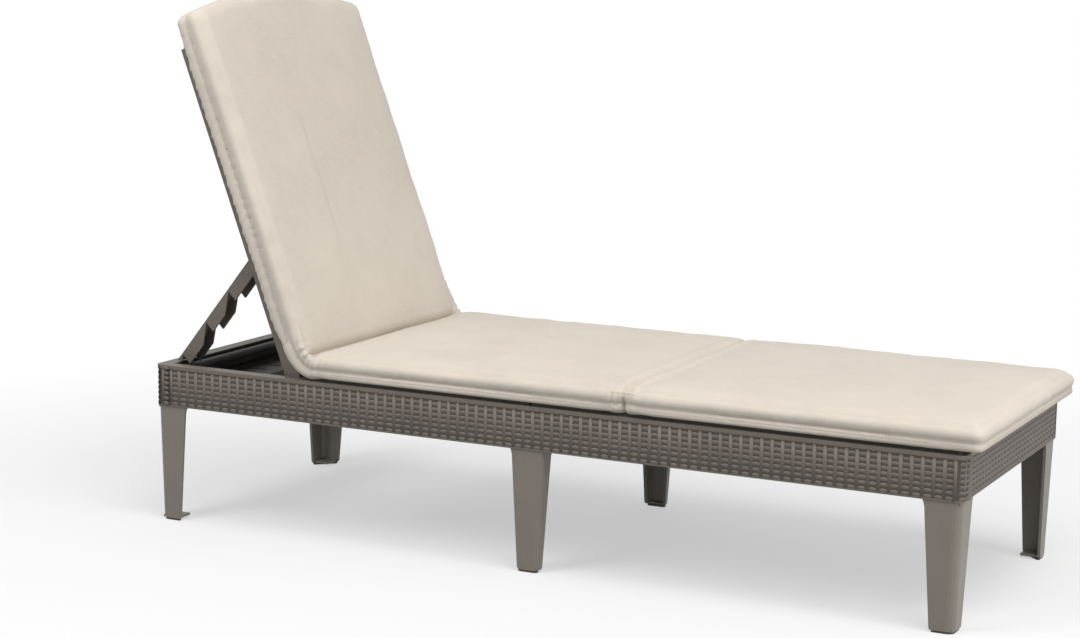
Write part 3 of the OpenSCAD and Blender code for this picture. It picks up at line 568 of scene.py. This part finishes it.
def apron_shade_sheet(name, inset, bottom, top):
    """A thin ring just in front of the apron's wall, which shows between the strands: a sheet of
    painted shade for the slits.
    """
    bm = bmesh.new()
    outer = apron_path(inset)
    inner = apron_path(inset + SHADE_SHEET_THICKNESS)
    rings = []
    for loop, z in ((outer, bottom), (outer, top), (inner, top), (inner, bottom)):
        rings.append([bm.verts.new((p[0], p[1], z)) for p in loop])
    n = len(outer)
    for k in range(4):
        a, b = rings[k], rings[(k + 1) % 4]
        for i in range(n):
            bm.faces.new((a[i], a[(i + 1) % n], b[(i + 1) % n], b[i]))
    bmesh.ops.recalc_face_normals(bm, faces=bm.faces)
    return placed(name, mesh_of(name, bm))


class LOUNGER_OT_finishes(bpy.types.Operator):
    """Make the materials and paint the CAD nodes with them"""

    bl_idname = "lounger.finishes"
    bl_label = "Paint the frame"

    def execute(self, context):
        finish = settings(context)[2]
        resin = moulded_resin("polypropylene_apron", finish.apron, 0.52)
        # Painted shade for the slits between the woven strands
        moulded_resin("polypropylene_slit_shade", finish.slit_shade, 0.7, mottle=0.05)
        # The legs' colour holds painted light: the same resin as the aprons, painted lighter
        leg = moulded_resin("polypropylene_leg_painted_lit", finish.leg, 0.42, mottle=0.05, bump=0.14)
        # Painted shade: the resin of the decks, beams, panel, bracket and rest bar is darkened for
        # the shade inside the frame
        inner = moulded_resin("polypropylene_painted_shade", finish.inner, 0.55)
        woven_fabric("polyester_canvas", finish.fabric, 0.93, 1.04)
        spun_thread("polyester_thread", finish.thread)
        steel = zinc_plated_steel("zinc_plated_steel", finish.steel)
        rubber = moulded_rubber("moulded_rubber", finish.rubber)
        by_start = (
            ("leg_glides", rubber), ("leg_screws", steel), ("deck_screws", steel),
            ("leg_deck", inner), ("leg_beam", inner), ("leg_cushion", None), ("leg_", leg),
            ("side_rail", resin), ("head_rail", resin), ("foot_rail", resin),
            ("backrest_panel", inner), ("backrest_", resin), ("prop_arm", resin),
            ("prop_", steel), ("pivot_pin", steel), ("pivot_bracket", inner),
            ("panel_screws", steel), ("rest_bar", inner), ("seat_deck", inner),
            ("hinge_beam", inner), ("mid_beam", inner), ("bay_shelf", inner),
        )
        for node, shown in frame["nodes"].items():
            for start, material in by_start:
                if node.startswith(start):
                    if material is not None:
                        for place in shown.material_slots:
                            place.material = material
                    break
        return {"FINISHED"}


class LOUNGER_OT_weave(bpy.types.Operator):
    """Model the woven band that is moulded into the four aprons"""

    bl_idname = "lounger.weave"
    bl_label = "Weave the aprons"

    def execute(self, context):
        weave = settings(context)[0]
        path = apron_path(weave.wall_inset)
        around = loop_length(path)
        stakes = round(around / weave.stake_pitch)
        pitch = around / stakes
        band = grown(
            "woven_band", path_mesh("woven_band_path", path, True), weave_tree(),
            {
                "Stake Pitch": pitch * 0.99999, "Stake Width": weave.stake_width,
                "Strand Height": weave.strand_height, "Relief": weave.relief,
                "Band Bottom": weave.band_bottom, "Band Top": weave.band_top,
                "Rows": weave.strand_rows,
            },
            finish_material_named("polypropylene_apron"),
        )
        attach(band, "base")
        # A dark sheet of painted shade behind the strands, for the shade in the slits
        shade_sheet = apron_shade_sheet(
            "woven_band_shade_sheet", weave.wall_inset - SHADE_SHEET_PROUD, weave.band_bottom,
            weave.band_top,
        )
        shade_sheet.data.materials.append(finish_material_named("polypropylene_slit_shade"))
        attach(shade_sheet, "base")
        return {"FINISHED"}


def node_copy(name, node):
    """A copy of a CAD node's mesh as an object of its own, with its points merged."""
    mesh = frame["nodes"][node].data.copy()
    mesh.name = name
    mesh.materials.clear()
    bm = bmesh.new()
    bm.from_mesh(mesh)
    bmesh.ops.remove_doubles(bm, verts=bm.verts, dist=0.00005)
    bmesh.ops.recalc_face_normals(bm, faces=bm.faces)
    bm.to_mesh(mesh)
    bm.free()
    return placed(name, mesh)


def places_of(mesh):
    co = np.empty(len(mesh.vertices) * 3)
    mesh.vertices.foreach_get("co", co)
    return co.reshape(-1, 3)


def set_places(mesh, co):
    mesh.vertices.foreach_set("co", co.ravel())
    mesh.update()


def normals_of(mesh):
    out = np.empty(len(mesh.vertices) * 3)
    mesh.vertices.foreach_get("normal", out)
    return out.reshape(-1, 3)


def baked(piece, kind, **values):
    """Adds a modifier, applies its result to the mesh, and leaves none on the piece."""
    modifier = piece.modifiers.new(kind, kind)
    for key, value in values.items():
        setattr(modifier, key, value)
    bpy.context.view_layer.update()
    evaluated = piece.evaluated_get(bpy.context.evaluated_depsgraph_get())
    mesh = bpy.data.meshes.new_from_object(evaluated)
    old = piece.data
    piece.modifiers.clear()
    piece.data = mesh
    bpy.data.meshes.remove(old)
    mesh.name = piece.name


CLOTH_FRAMES = 20
DRAWN_IN_SHARE = 0.15
DRAWN_IN_LIMIT = 0.002
LEVEL_PERCENTILE = 60


def stuffed(piece, cushion):
    """The section's cover, drawn in, remeshed and blown up by the stuffing's pressure in a cloth
    simulation. What is kept of the simulation is how far it swells along the cover's normals,
    within a limit."""
    mesh = piece.data
    set_places(mesh, places_of(mesh) - normals_of(mesh) * cushion.shrink)
    baked(piece, "REMESH", mode="VOXEL", voxel_size=cushion.voxel, use_smooth_shade=True)
    start = places_of(piece.data).copy()
    cloth = piece.modifiers.new("CLOTH", "CLOTH")
    made = cloth.settings
    made.quality = 4
    made.use_pressure = True
    made.uniform_pressure_force = cushion.pressure
    made.tension_stiffness = 18
    made.compression_stiffness = 12
    made.shear_stiffness = 6
    made.bending_stiffness = 0.6
    made.mass = 0.25
    made.effector_weights.gravity = 0.0
    cloth.collision_settings.use_collision = False
    cloth.point_cache.frame_start = 1
    cloth.point_cache.frame_end = CLOTH_FRAMES
    scene = bpy.context.scene
    for step in range(1, CLOTH_FRAMES + 1):
        scene.frame_set(step)
    evaluated = piece.evaluated_get(bpy.context.evaluated_depsgraph_get())
    blown = np.empty(len(evaluated.data.vertices) * 3)
    evaluated.data.vertices.foreach_get("co", blown)
    blown = blown.reshape(-1, 3)
    piece.modifiers.clear()
    scene.frame_set(1)
    normal = normals_of(piece.data)
    swell = ((blown - start) * normal).sum(1)
    limit = cushion.swell_limit
    # Eases into the limit instead of stopping at it, so that no flat shows. Where the cloth
    # draws in, as at the corners, the border's boxing holds it out.
    swell = np.where(swell > 0, limit * np.tanh(swell / limit), DRAWN_IN_SHARE * swell)
    swell -= np.percentile(swell, LEVEL_PERCENTILE)
    swell = cushion.shrink + np.clip(swell, -DRAWN_IN_LIMIT, limit)
    set_places(piece.data, start + normal * swell[:, None])
    baked(piece, "SUBSURF", levels=1, render_levels=1)
    for face in piece.data.polygons:
        face.use_smooth = True


BACK_TURN = math.radians(69.0)
SEAM_SHARE = 0.34
CROWN = 0.007
LOWEST = BACK_TURN - math.radians(HINGE["range_deg"][1])
PIVOT = np.array(HINGE["pos_m"], float)


def to_back(co):
    """From the row frame to the backrest's own: u up the stile, y across, n out of its face."""
    d = co - PIVOT
    s, c = math.sin(BACK_TURN), math.cos(BACK_TURN)
    return np.stack([-d[:, 0] * c + d[:, 2] * s, d[:, 1], d[:, 0] * s + d[:, 2] * c], -1)


def from_back(local):
    s, c = math.sin(BACK_TURN), math.cos(BACK_TURN)
    u, y, n = local[:, 0], local[:, 1], local[:, 2]
    return np.stack([-u * c + n * s, y, u * s + n * c], -1) + PIVOT


def cover_map(piece, local):
    """The cover's own map in metres, laid along the threads: from above on the faces, and along
    the border on the sides."""
    mesh = piece.data
    uv = mesh.uv_layers.new(name="cover")
    loops = np.empty(len(mesh.loops), int)
    mesh.loops.foreach_get("vertex_index", loops)
    totals = np.empty(len(mesh.polygons), int)
    mesh.polygons.foreach_get("loop_total", totals)
    of_face = np.repeat(np.arange(len(totals)), totals)
    corner = local[loops]
    middle = np.zeros((len(totals), 3))
    np.add.at(middle, of_face, corner)
    middle /= totals[:, None]
    starts = np.concatenate([[0], np.cumsum(totals)[:-1]])
    a, b, c = corner[starts], corner[starts + 1], corner[starts + 2]
    normal = np.abs(np.cross(b - a, c - a))
    way = np.argmax(normal, axis=1)[of_face]
    flat = np.where(
        (way == 2)[:, None], corner[:, [0, 1]],
        np.where((way == 1)[:, None], corner[:, [0, 2]], corner[:, [1, 2]]),
    )
    uv.data.foreach_set("uv", flat.ravel())


def ripple(place, pitch, seed):
    """A smooth, fixed unevenness between about -1 and 1."""
    p = Vector((place[0] / pitch + seed, place[1] / pitch, place[2] / pitch))
    return noise.noise(p)


def bump(value, middle, width):
    """1 at the middle, falling to 0 over about the width on either side."""
    return np.exp(-(((value - middle) / width) ** 2))


def gathers(across, along, seed):
    """Small upright folds where a seam gathers the cover, close together and uneven."""
    return np.sin(across / 0.0034 + 2.2 * np.sin(across / 0.011 + seed)) * np.exp(-along / 0.026)


def sewn(piece, local, thickness, joined, cushion, seed):
    """Works the seams, the rolled edge and the folds into a stuffed section. local is in the
    section's own frame: x along it, y across, z up from its underside. joined says which of
    its two ends is sewn to the next section, where the cover is gathered."""
    mesh = piece.data
    normal = normals_of(mesh)
    low, high = local.min(0), local.max(0)
    middle, half = (low + high) / 2, (high - low) / 2
    height = local[:, 2] / thickness
    from_near = local[:, 0] - low[0] - np.clip(local[:, 2], 0, None) * joined[2]
    from_far = high[0] - local[:, 0]
    from_side = half[1] - np.abs(local[:, 1] - middle[1])
    ends = np.minimum(
        np.where(joined[0], 1.0, from_near), np.where(joined[1], 1.0, from_far)
    )
    edge = np.minimum(ends, from_side)
    side = np.clip(1.5 - edge / 0.016, 0, 1)
    # The border: a full roll, a crease under it, and a narrow band down to the underside
    lift = side * (
        0.0010 * bump(height, 0.58, 0.12)
        - 0.0036 * bump(height, 0.92, 0.18)
        - cushion.seam_depth * bump(height, SEAM_SHARE, 0.05)
        + 0.0007 * bump(height, 0.12, 0.08)
    )
    fine = np.array([ripple(p, 0.013, seed + 7.0) for p in local])
    fold = np.array([ripple(p, 0.034, seed) for p in local])
    broad = np.array([ripple(p, 0.13, seed + 3.0) for p in local])
    lift += 0.0008 * fine * bump(height, SEAM_SHARE, 0.25) * side
    lift += 0.0014 * fold * np.exp(-((edge / 0.04) ** 2)) * np.clip(height * 2 - 0.7, 0, 1)
    lift += 0.0018 * broad * np.clip(height, 0, 1)
    from_near, from_far = np.clip(from_near, 0, None), np.clip(from_far, 0, None)
    hinge_end = from_near if joined[2] else None
    for sewn_end, far in ((joined[0], from_near), (joined[1], from_far)):
        if sewn_end:
            band = gathers(local[:, 0], far, seed) * side * np.clip(height * 3, 0, 1)
            top = gathers(local[:, 1], far * 1.6, seed) * np.clip(height * 3 - 2, 0, 1)
            lift += 0.0012 * band + 0.0005 * top * np.exp(-from_side / 0.05)
            lift -= cushion.valley * np.exp(-far / 0.011) * (0.3 if far is hinge_end else 1.0)
    set_places(mesh, places_of(mesh) + normal * lift[:, None])


def hung(local, thickness, base, drop):
    """Lets the border of the back section hang over the outside of the stiles, which it
    overreaches on both sides, as far as the rails leave room for it when it is lowered."""
    height = local[:, 2] / thickness
    outside = np.clip((np.abs(local[:, 1]) - STILE_OUTER - 0.001) / 0.005, 0, 1)
    over_rail = PIVOT[2] - SIDE_HIGH[2] + local[:, 0] * math.sin(LOWEST) + base * math.cos(LOWEST)
    low = np.clip(1 - height / 0.55, 0, 1)
    out = local.copy()
    out[:, 2] -= np.clip(over_rail - 0.0015, 0, drop) * outside * low
    return out


def seam_path(local, share, thickness, outset, steps=420):
    """The seam's line round a section at a share of its thickness, just proud of the cover."""
    level = np.abs(local[:, 2] - share * thickness) < 0.004
    ring = local[level]
    middle = (local.min(0) + local.max(0)) / 2
    turn = np.arctan2(
        (ring[:, 1] - middle[1]) / np.ptp(local[:, 1]),
        (ring[:, 0] - middle[0]) / np.ptp(local[:, 0]),
    )
    order = np.argsort(turn)
    ring, turn = ring[order], turn[order]
    far = np.hypot(ring[:, 0] - middle[0], ring[:, 1] - middle[1])
    at = np.linspace(-math.pi, math.pi, steps, endpoint=False)
    out = []
    width = math.pi / steps * 1.4
    for a in at:
        d = np.abs((turn - a + math.pi) % (2 * math.pi) - math.pi)
        near = d < width
        if not near.any():
            near = d <= d.min() + 1e-9
        k = np.argmax(np.where(near, far, -1))
        out.append(ring[k])
    out = np.array(out)
    for _ in range(3):
        out = (np.roll(out, 1, 0) + 2 * out + np.roll(out, -1, 0)) / 4
    away = out[:, :2] - middle[:2]
    away /= np.linalg.norm(away, axis=1, keepdims=True)
    out[:, :2] += away * outset
    out[:, 2] = share * thickness
    return out


def section(name, node, body, to_local, from_local, joined, cushion, seed):
    """One stuffed and sewn section of the cushion, which stands for its CAD node."""
    piece = node_copy(name, node)
    rest = to_local(places_of(piece.data))
    base = rest[:, 2].min()
    thickness = (rest[:, 2] - base).max() - CROWN
    stuffed(piece, cushion)
    local = to_local(places_of(piece.data))
    local[:, 2] -= base
    # The underside rests on the deck, so the stuffing can't push it down
    sunk = local[:, 2] < 0
    local[sunk, 2] *= 0.02
    back = local.copy()
    back[:, 2] += base
    set_places(piece.data, from_local(back))
    cover_map(piece, local)
    sewn(piece, local, thickness, joined, cushion, seed)
    flat = to_local(places_of(piece.data))
    flat[:, 2] = np.maximum(flat[:, 2] - base, -0.0001)
    if body == "backrest":
        flat = hung(flat, thickness, base, cushion.hang)
    flat[:, 2] += base
    set_places(piece.data, from_local(flat))
    piece.data.materials.append(finish_material_named("polyester_canvas"))
    local = to_local(places_of(piece.data))
    local[:, 2] -= base
    line = seam_path(local, SEAM_SHARE - 0.10, thickness, 0.0001)
    line[:, 2] += base
    line = from_local(line)
    seams = grown(
        name + "_stitches", path_mesh(name + "_seam_path", line, True), stitch_tree(),
        {
            "Stitch Pitch": cushion.stitch_pitch, "Stitch Length": cushion.stitch_pitch * 0.62,
            "Thread Radius": cushion.thread_radius,
        },
        finish_material_named("polyester_thread"),
    )
    for part in (piece, seams):
        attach(part, body)
    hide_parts(node)
    return piece


def same(co):
    return co.copy()


class LOUNGER_OT_cushions(bpy.types.Operator):
    """Stuff and sew the seat, leg and back sections of the cushion"""

    bl_idname = "lounger.cushions"
    bl_label = "Make the cushions"

    def execute(self, context):
        cushion = settings(context)[1]
        slope = math.tan(BACK_TURN / 2)
        for name, node, body, ways, joined in (
            ("seat_section", "seat_cushion", "base", (same, same), (True, True, slope)),
            ("leg_section", "leg_cushion", "base", (same, same), (True, False, 0.0)),
            (
                "back_section", "back_cushion", "backrest", (to_back, from_back),
                (True, False, slope),
            ),
        ):
            section(name, node, body, *ways, joined, cushion, 1.0 + len(name))
        return {"FINISHED"}


# The outside of the fold that joins the seat and back sections, as places from the pivot in
# metres, along and up: from the seat's underside round to the rear of the back's border.
FOLD_OUTSIDE = [(0.092, 0.0268), (0.075, 0.0262), (0.058, 0.0258), (0.042, 0.0262), (0.025, 0.0315),
                (0.010, 0.0415), (-0.003, 0.0555), (-0.014, 0.0730), (-0.0235, 0.0940),
                (-0.0320, 0.1150)]
FOLD_STEPS = 64
FOLD_PROUD = 0.0012
FOLD_SUNK = 0.006
PLEAT_DEPTH = 0.0028
JOINT_STEPS = 60
JOINT_LENGTH = 0.064
JOINT_PROUD = 0.0002
JOINT_SUNK = 0.005
JOINT_GATHER = 0.0020
VALLEY_WIDTH = 0.0085
NOTCH_DEPTH = 0.006
NOTCH_WIDTH = 0.0025
# From the pivot to the undersides of the seat and back sections
BASE_GAP = 0.0264
FOLD_HEIGHTS = np.linspace(0.0, 0.80, 28)
FOLD_DEPTHS = (0.046, 0.058)


def eased(value):
    """0 below 0, 1 above 1 and smooth between."""
    value = np.clip(value, 0, 1)
    return value * value * (3 - 2 * value)


def outermost(values):
    """The mean of the values that lie within 3 mm of the largest."""
    return values[values > values.max() - 0.003].mean()


def border_profile(local, low, high):
    """How far a section's border reaches from the middle at each share of its height, read from
    the stretch of the section between low and high along it."""
    part = local[(local[:, 0] > low) & (local[:, 0] < high)]
    bottom, top = part[:, 2].min(), part[:, 2].max() - CROWN
    height = (part[:, 2] - bottom) / (top - bottom)
    known = [(h, np.abs(part[np.abs(height - h) < 0.03, 1])) for h in FOLD_HEIGHTS]
    known = np.array([(h, outermost(reach)) for h, reach in known if len(reach)])
    return np.interp(FOLD_HEIGHTS, known[:, 0], known[:, 1])


def top_profile(local, low, high, across):
    """How high a section's face lies at places across it, read from the same stretch."""
    part = local[(local[:, 0] > low) & (local[:, 0] < high)]
    known = [(y, part[np.abs(part[:, 1] - y) < 0.004, 2]) for y in across]
    known = np.array([(y, outermost(height)) for y, height in known if len(height)])
    return np.interp(across, known[:, 0], known[:, 1])


def fold_line(steps):
    """Even steps along the fold's outside, with the way inwards at each."""
    points = np.array(FOLD_OUTSIDE)
    points = np.vstack([2 * points[0] - points[1], points, 2 * points[-1] - points[-2]])
    fine = []
    for p0, p1, p2, p3 in zip(points, points[1:], points[2:], points[3:]):
        for t in np.linspace(0, 1, 12, endpoint=False):
            fine.append(0.5 * (2 * p1 + (p2 - p0) * t + (2 * p0 - 5 * p1 + 4 * p2 - p3) * t * t
                               + (3 * p1 - p0 - 3 * p2 + p3) * t ** 3))
    fine = np.array(fine)
    far = np.concatenate([[0], np.cumsum(np.linalg.norm(np.diff(fine, axis=0), axis=1))])
    at = np.linspace(0, far[-1], steps)
    line = np.stack([np.interp(at, far, fine[:, k]) for k in (0, 1)], -1)
    way = np.gradient(line, axis=0)
    for _ in range(6):
        way[1:-1] = (way[:-2] + 2 * way[1:-1] + way[2:]) / 4
    way /= np.linalg.norm(way, axis=1, keepdims=True)
    return line, np.stack([way[:, 1], -way[:, 0]], -1)


def ring_of(half, rise, over, under):
    """A closed ring: up one border, over the face, down the other border and back below."""
    side = list(zip(half, rise))
    return side + over + [(-y, h) for y, h in reversed(side)] + under


def swept(name, rings, origin):
    """A padded piece of the cover through rings of points, given from an origin."""
    bm = bmesh.new()
    made = [[bm.verts.new(place) for place in ring] for ring in rings]
    for a, b in zip(made, made[1:]):
        for k in range(len(a)):
            bm.faces.new((a[k], a[(k + 1) % len(a)], b[(k + 1) % len(a)], b[k]))
    bm.faces.new(made[0])
    bm.faces.new(made[-1])
    bmesh.ops.recalc_face_normals(bm, faces=bm.faces)
    mesh = mesh_of(name, bm)
    set_places(mesh, places_of(mesh) + origin)
    piece = placed(name, mesh)
    for face in mesh.polygons:
        face.use_smooth = True
    cover_map(piece, places_of(mesh))
    mesh.materials.append(finish_material_named("polyester_canvas"))
    return piece


class LOUNGER_OT_joint(bpy.types.Operator):
    """Model the gathered seam that joins the seat and leg sections"""

    bl_idname = "lounger.joint"
    bl_label = "Make the section joint"

    def execute(self, context):
        cushion = settings(context)[1]
        seat = places_of(bpy.data.objects["seat_section"].data)
        leg = places_of(bpy.data.objects["leg_section"].data)
        middle = (seat[:, 0].max() + leg[:, 0].min()) / 2
        bottom = min(seat[:, 2].min(), leg[:, 2].min())
        depth = SEAT_HIGH[2] - CROWN - bottom
        across = np.linspace(-1, 1, 120) * (SEAT_HIGH[1] - 0.0065)
        profiles, tops = [], []
        for local, low, high in ((seat, -0.07, -0.035), (leg, 0.035, 0.07)):
            profiles.append(border_profile(local, middle + low, middle + high))
            tops.append(top_profile(local, middle + low, middle + high, across) - bottom)
        rings = []
        for step in range(JOINT_STEPS):
            t = step / (JOINT_STEPS - 1)
            x = (t - 0.5) * JOINT_LENGTH
            # Sunk into the sections at both ends, flush with them between, and drawn in by the seam
            lift = JOINT_PROUD - JOINT_SUNK * (1 - eased(min(t, 1 - t) / 0.2))
            lift -= cushion.valley * math.exp(-((x / VALLEY_WIDTH) ** 2))
            fold = math.sin(x / 0.0019 + 1.2 * math.sin(x / 0.004)) * math.exp(-abs(x) / 0.012)
            half = profiles[0] * (1 - t) + profiles[1] * t + lift
            half = half + JOINT_GATHER * fold * eased((FOLD_HEIGHTS - 0.1) / 0.3)
            notch = NOTCH_DEPTH * math.exp(-((x / NOTCH_WIDTH) ** 2))
            half = half - notch * eased((0.75 - FOLD_HEIGHTS) / 0.5)
            rise = FOLD_HEIGHTS * depth + 0.0006
            top = tops[0] * (1 - t) + tops[1] * t + lift
            top = top + 0.0009 * fold * np.exp(-(np.abs(across[-1]) - np.abs(across)) / 0.03)
            over = list(zip(across[::-1] * (half[-1] - 0.001) / across[-1], top[::-1]))
            under = [(y, rise[0]) for y in np.linspace(-half[0], half[0], 60)[1:-1]]
            rings.append([(x, y, h) for y, h in ring_of(half, rise, over, under)])
        joint = swept("section_joint", rings, np.array([middle, 0.0, bottom]))
        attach(joint, "base")
        return {"FINISHED"}


class LOUNGER_OT_fold(bpy.types.Operator):
    """Model the padded fold that joins the seat and back sections round the hinge"""

    bl_idname = "lounger.fold"
    bl_label = "Make the hinge fold"

    def execute(self, context):
        seat = places_of(bpy.data.objects["seat_section"].data) - PIVOT
        back = to_back(places_of(bpy.data.objects["back_section"].data))
        profiles = border_profile(seat, 0.10, 0.16), border_profile(back, 0.13, 0.19)
        line, inwards = fold_line(FOLD_STEPS)
        rings = []
        for step, (place, way) in enumerate(zip(line, inwards)):
            t = step / (FOLD_STEPS - 1)
            # Sunk into the sections at both ends, and just proud of them between
            out = eased(min(t, 1 - t) / 0.3)
            depth = FOLD_DEPTHS[0] + (FOLD_DEPTHS[1] - FOLD_DEPTHS[0]) * t
            half = profiles[0] * (1 - t) + profiles[1] * t
            # The cover is tucked in pleats that run out from the crease
            pleat = np.sin(t * 44 + 1.8 * np.sin(FOLD_HEIGHTS * 7))
            pleat = pleat * math.exp(-(((t - 0.52) / 0.17) ** 2))
            half = half + FOLD_PROUD * out - FOLD_SUNK * (1 - out)
            half = half + PLEAT_DEPTH * pleat * eased((FOLD_HEIGHTS - 0.3) / 0.45)
            rise = FOLD_HEIGHTS * (depth - FOLD_SUNK * (1 - out)) + 0.004 * (1 - out)
            # Between the stiles the fold keeps off the panel that the back section lies on
            across, up = math.sin(BACK_TURN), math.cos(BACK_TURN)
            room = (BASE_GAP - place[0] * across - place[1] * up) / (way[0] * across + way[1] * up)
            # Deeper between the borders, where the crease closes over it
            over = [
                (y, rise[-1] - 0.2 * depth * eased((half[-1] - abs(y)) / 0.02))
                for y in np.linspace(half[-1], -half[-1], 120)[1:-1]
            ]
            under = [
                (y, max(rise[0], room * eased((STILE_OUTER + 0.004 - abs(y)) / 0.004)))
                for y in np.linspace(-half[0], half[0], 140)[1:-1]
            ]
            rings.append([
                (place[0] + way[0] * h, y, place[1] + way[1] * h)
                for y, h in ring_of(half, rise, over, under)
            ])
        fold = swept("hinge_fold", rings, PIVOT)
        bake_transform(fold)
        return {"FINISHED"}


class LOUNGER_OT_studio(bpy.types.Operator):
    """Set up the pale floor, the lamps and the camera at the photograph's angle"""

    bl_idname = "lounger.studio"
    bl_label = "Set up the studio"

    def execute(self, context):
        finish = settings(context)[2]
        scene = context.scene
        floor = studio_floor(finish.floor)
        world = bpy.data.worlds.new("studio_world")
        scene.world = world
        world.use_nodes = True
        tree = world.node_tree
        tree.nodes.clear()
        seen = seen_directly(tree)
        strength = add(tree, "ShaderNodeMapRange", Value=seen, i3=0.33, i4=1.0).outputs[0]
        sky = add(tree, "ShaderNodeBackground", Color=(1, 1, 1, 1), Strength=strength)
        add(tree, "ShaderNodeOutputWorld", Surface=sky.outputs[0])
        for values in LAMPS:
            lamp(*values)
        camera_data = bpy.data.cameras.new("camera")
        camera_data.sensor_width = SENSOR_WIDTH
        camera_data.lens = SENSOR_WIDTH * CAMERA_FOCAL / PHOTO_WIDTH
        camera = placed("camera", camera_data)
        yaw, pitch, roll = CAMERA_TURN
        forward = Vector(
            (-math.sin(yaw) * math.cos(pitch), math.cos(yaw) * math.cos(pitch), -math.sin(pitch))
        )
        right = Vector((math.cos(yaw), math.sin(yaw), 0.0))
        up = right.cross(forward)
        level = math.cos(roll) * right + math.sin(roll) * up
        upright = level.cross(forward)
        turn = Matrix((level, upright, -forward)).transposed()
        place = CAMERA_FROM_HEAD + Vector((SIDE_LOW[0], 0, 0))
        camera.matrix_world = Matrix.Translation(place) @ turn.to_4x4()
        scene.camera = camera
        scene.view_settings.view_transform = "Standard"
        return {"FINISHED"}


# Each lamp's name, place, aim, width in metres and watts
LAMPS = (
    ("foot_lamp", (1.7, -1.2, 4.3), (0.0, 0, 0.3), 2.6, 118),
    ("near_lamp", (-1.3, -2.4, 2.6), (0.0, 0, 0.3), 1.5, 44),
    ("end_lamp", (2.9, -0.5, 0.6), (0.75, -0.1, 0.2), 1.0, 22),
)
# The camera was fitted to the frame's corners, rails and legs in the photograph
PHOTO_WIDTH = 1080
SENSOR_WIDTH = 36.0
CAMERA_FOCAL = 2404.5
CAMERA_FROM_HEAD = Vector((2.5335, -3.8516, 1.0881))
CAMERA_TURN = (0.45708, 0.16140, 0.01745)


def seen_directly(tree):
    """1 for a ray from the camera, or through gloss or glass, and 0 for one that lights."""
    path = add(tree, "ShaderNodeLightPath")
    total = path.outputs["Is Camera Ray"]
    for other in ("Is Glossy Ray", "Is Transmission Ray"):
        total = add(
            tree, "ShaderNodeMath", {"operation": "MAXIMUM"}, i0=total, i1=path.outputs[other]
        ).outputs[0]
    return total


def studio_floor(colour):
    """A level floor, far wider than the view, that goes over to the background's white."""
    bm = bmesh.new()
    bmesh.ops.create_grid(bm, x_segments=1, y_segments=1, size=14.0)
    mesh = mesh_of("studio_floor", bm)
    floor = placed("studio_floor", mesh)
    material, tree = new_material("studio_paper")
    # Matt paper that is lit through from behind, so that the shadows on it stay pale, and that
    # turns plain white away from the lounger
    place = add(tree, "ShaderNodeTexCoord").outputs["Object"]
    away = add(tree, "ShaderNodeVectorMath", {"operation": "LENGTH"}, i0=place).outputs["Value"]
    white = add(
        tree, "ShaderNodeMapRange", Value=away, i1=0.7, i2=2.0, i3=0.5, i4=1.0
    ).outputs[0]
    # It throws back less light than it shows, as a sheet among dark surroundings does
    shown = add(tree, "ShaderNodeMapRange", Value=seen_directly(tree), i3=0.35, i4=1.0).outputs[0]
    tint = add(tree, "ShaderNodeVectorMath", {"operation": "SCALE"}, i0=colour[:3], Scale=shown)
    paper = add(tree, "ShaderNodeBsdfDiffuse", Color=tint.outputs[0])
    light = add(tree, "ShaderNodeEmission", Color=(1, 1, 1, 1), Strength=1.0)
    hidden = add(
        tree, "ShaderNodeMath", {"operation": "MULTIPLY"}, i0=white, i1=seen_directly(tree)
    ).outputs[0]
    mix = add(
        tree, "ShaderNodeMixShader", Fac=hidden, i1=paper.outputs[0], i2=light.outputs[0]
    )
    finish_material(tree, mix)
    mesh.materials.append(material)
    return floor


def lamp(name, place, aim, size, watts):
    """A square soft lamp that faces its aim."""
    data = bpy.data.lights.new(name, "AREA")
    data.shape = "SQUARE"
    data.size = size
    data.energy = watts
    made = placed(name, data)
    made.location = place
    made.rotation_euler = (Vector(aim) - Vector(place)).to_track_quat("-Z", "Y").to_euler()
    return made


class LOUNGER_PT_panel(bpy.types.Panel):
    """Lists the lounger's steps and the sizes and colours that they use"""

    bl_idname = "LOUNGER_PT_panel"
    bl_label = "Lounger"
    bl_space_type = "VIEW_3D"
    bl_region_type = "UI"
    bl_category = "Lounger"

    def draw(self, context):
        layout = self.layout
        for operator in OPERATORS:
            layout.operator(operator.bl_idname)
        for group in settings(context):
            box = layout.box()
            for key in group.bl_rna.properties.keys():
                if key not in ("rna_type", "name"):
                    box.prop(group, key)


GROUPS = (LoungerWeave, LoungerCushion, LoungerFinish)
OPERATORS = (
    LOUNGER_OT_finishes,
    LOUNGER_OT_weave,
    LOUNGER_OT_cushions,
    LOUNGER_OT_fold,
    LOUNGER_OT_joint,
    LOUNGER_OT_studio,
)


def register():
    for group in GROUPS + OPERATORS + (LOUNGER_PT_panel,):
        bpy.utils.register_class(group)
    bpy.types.Scene.lounger_weave = bpy.props.PointerProperty(type=LoungerWeave)
    bpy.types.Scene.lounger_cushion = bpy.props.PointerProperty(type=LoungerCushion)
    bpy.types.Scene.lounger_finish = bpy.props.PointerProperty(type=LoungerFinish)


def unregister():
    del bpy.types.Scene.lounger_finish
    del bpy.types.Scene.lounger_cushion
    del bpy.types.Scene.lounger_weave
    for group in reversed(GROUPS + OPERATORS + (LOUNGER_PT_panel,)):
        bpy.utils.unregister_class(group)


def main():
    register()
    for operator in OPERATORS:
        part, name = operator.bl_idname.split(".")
        getattr(getattr(bpy.ops, part), name)()


if __name__ == "__main__":
    main()
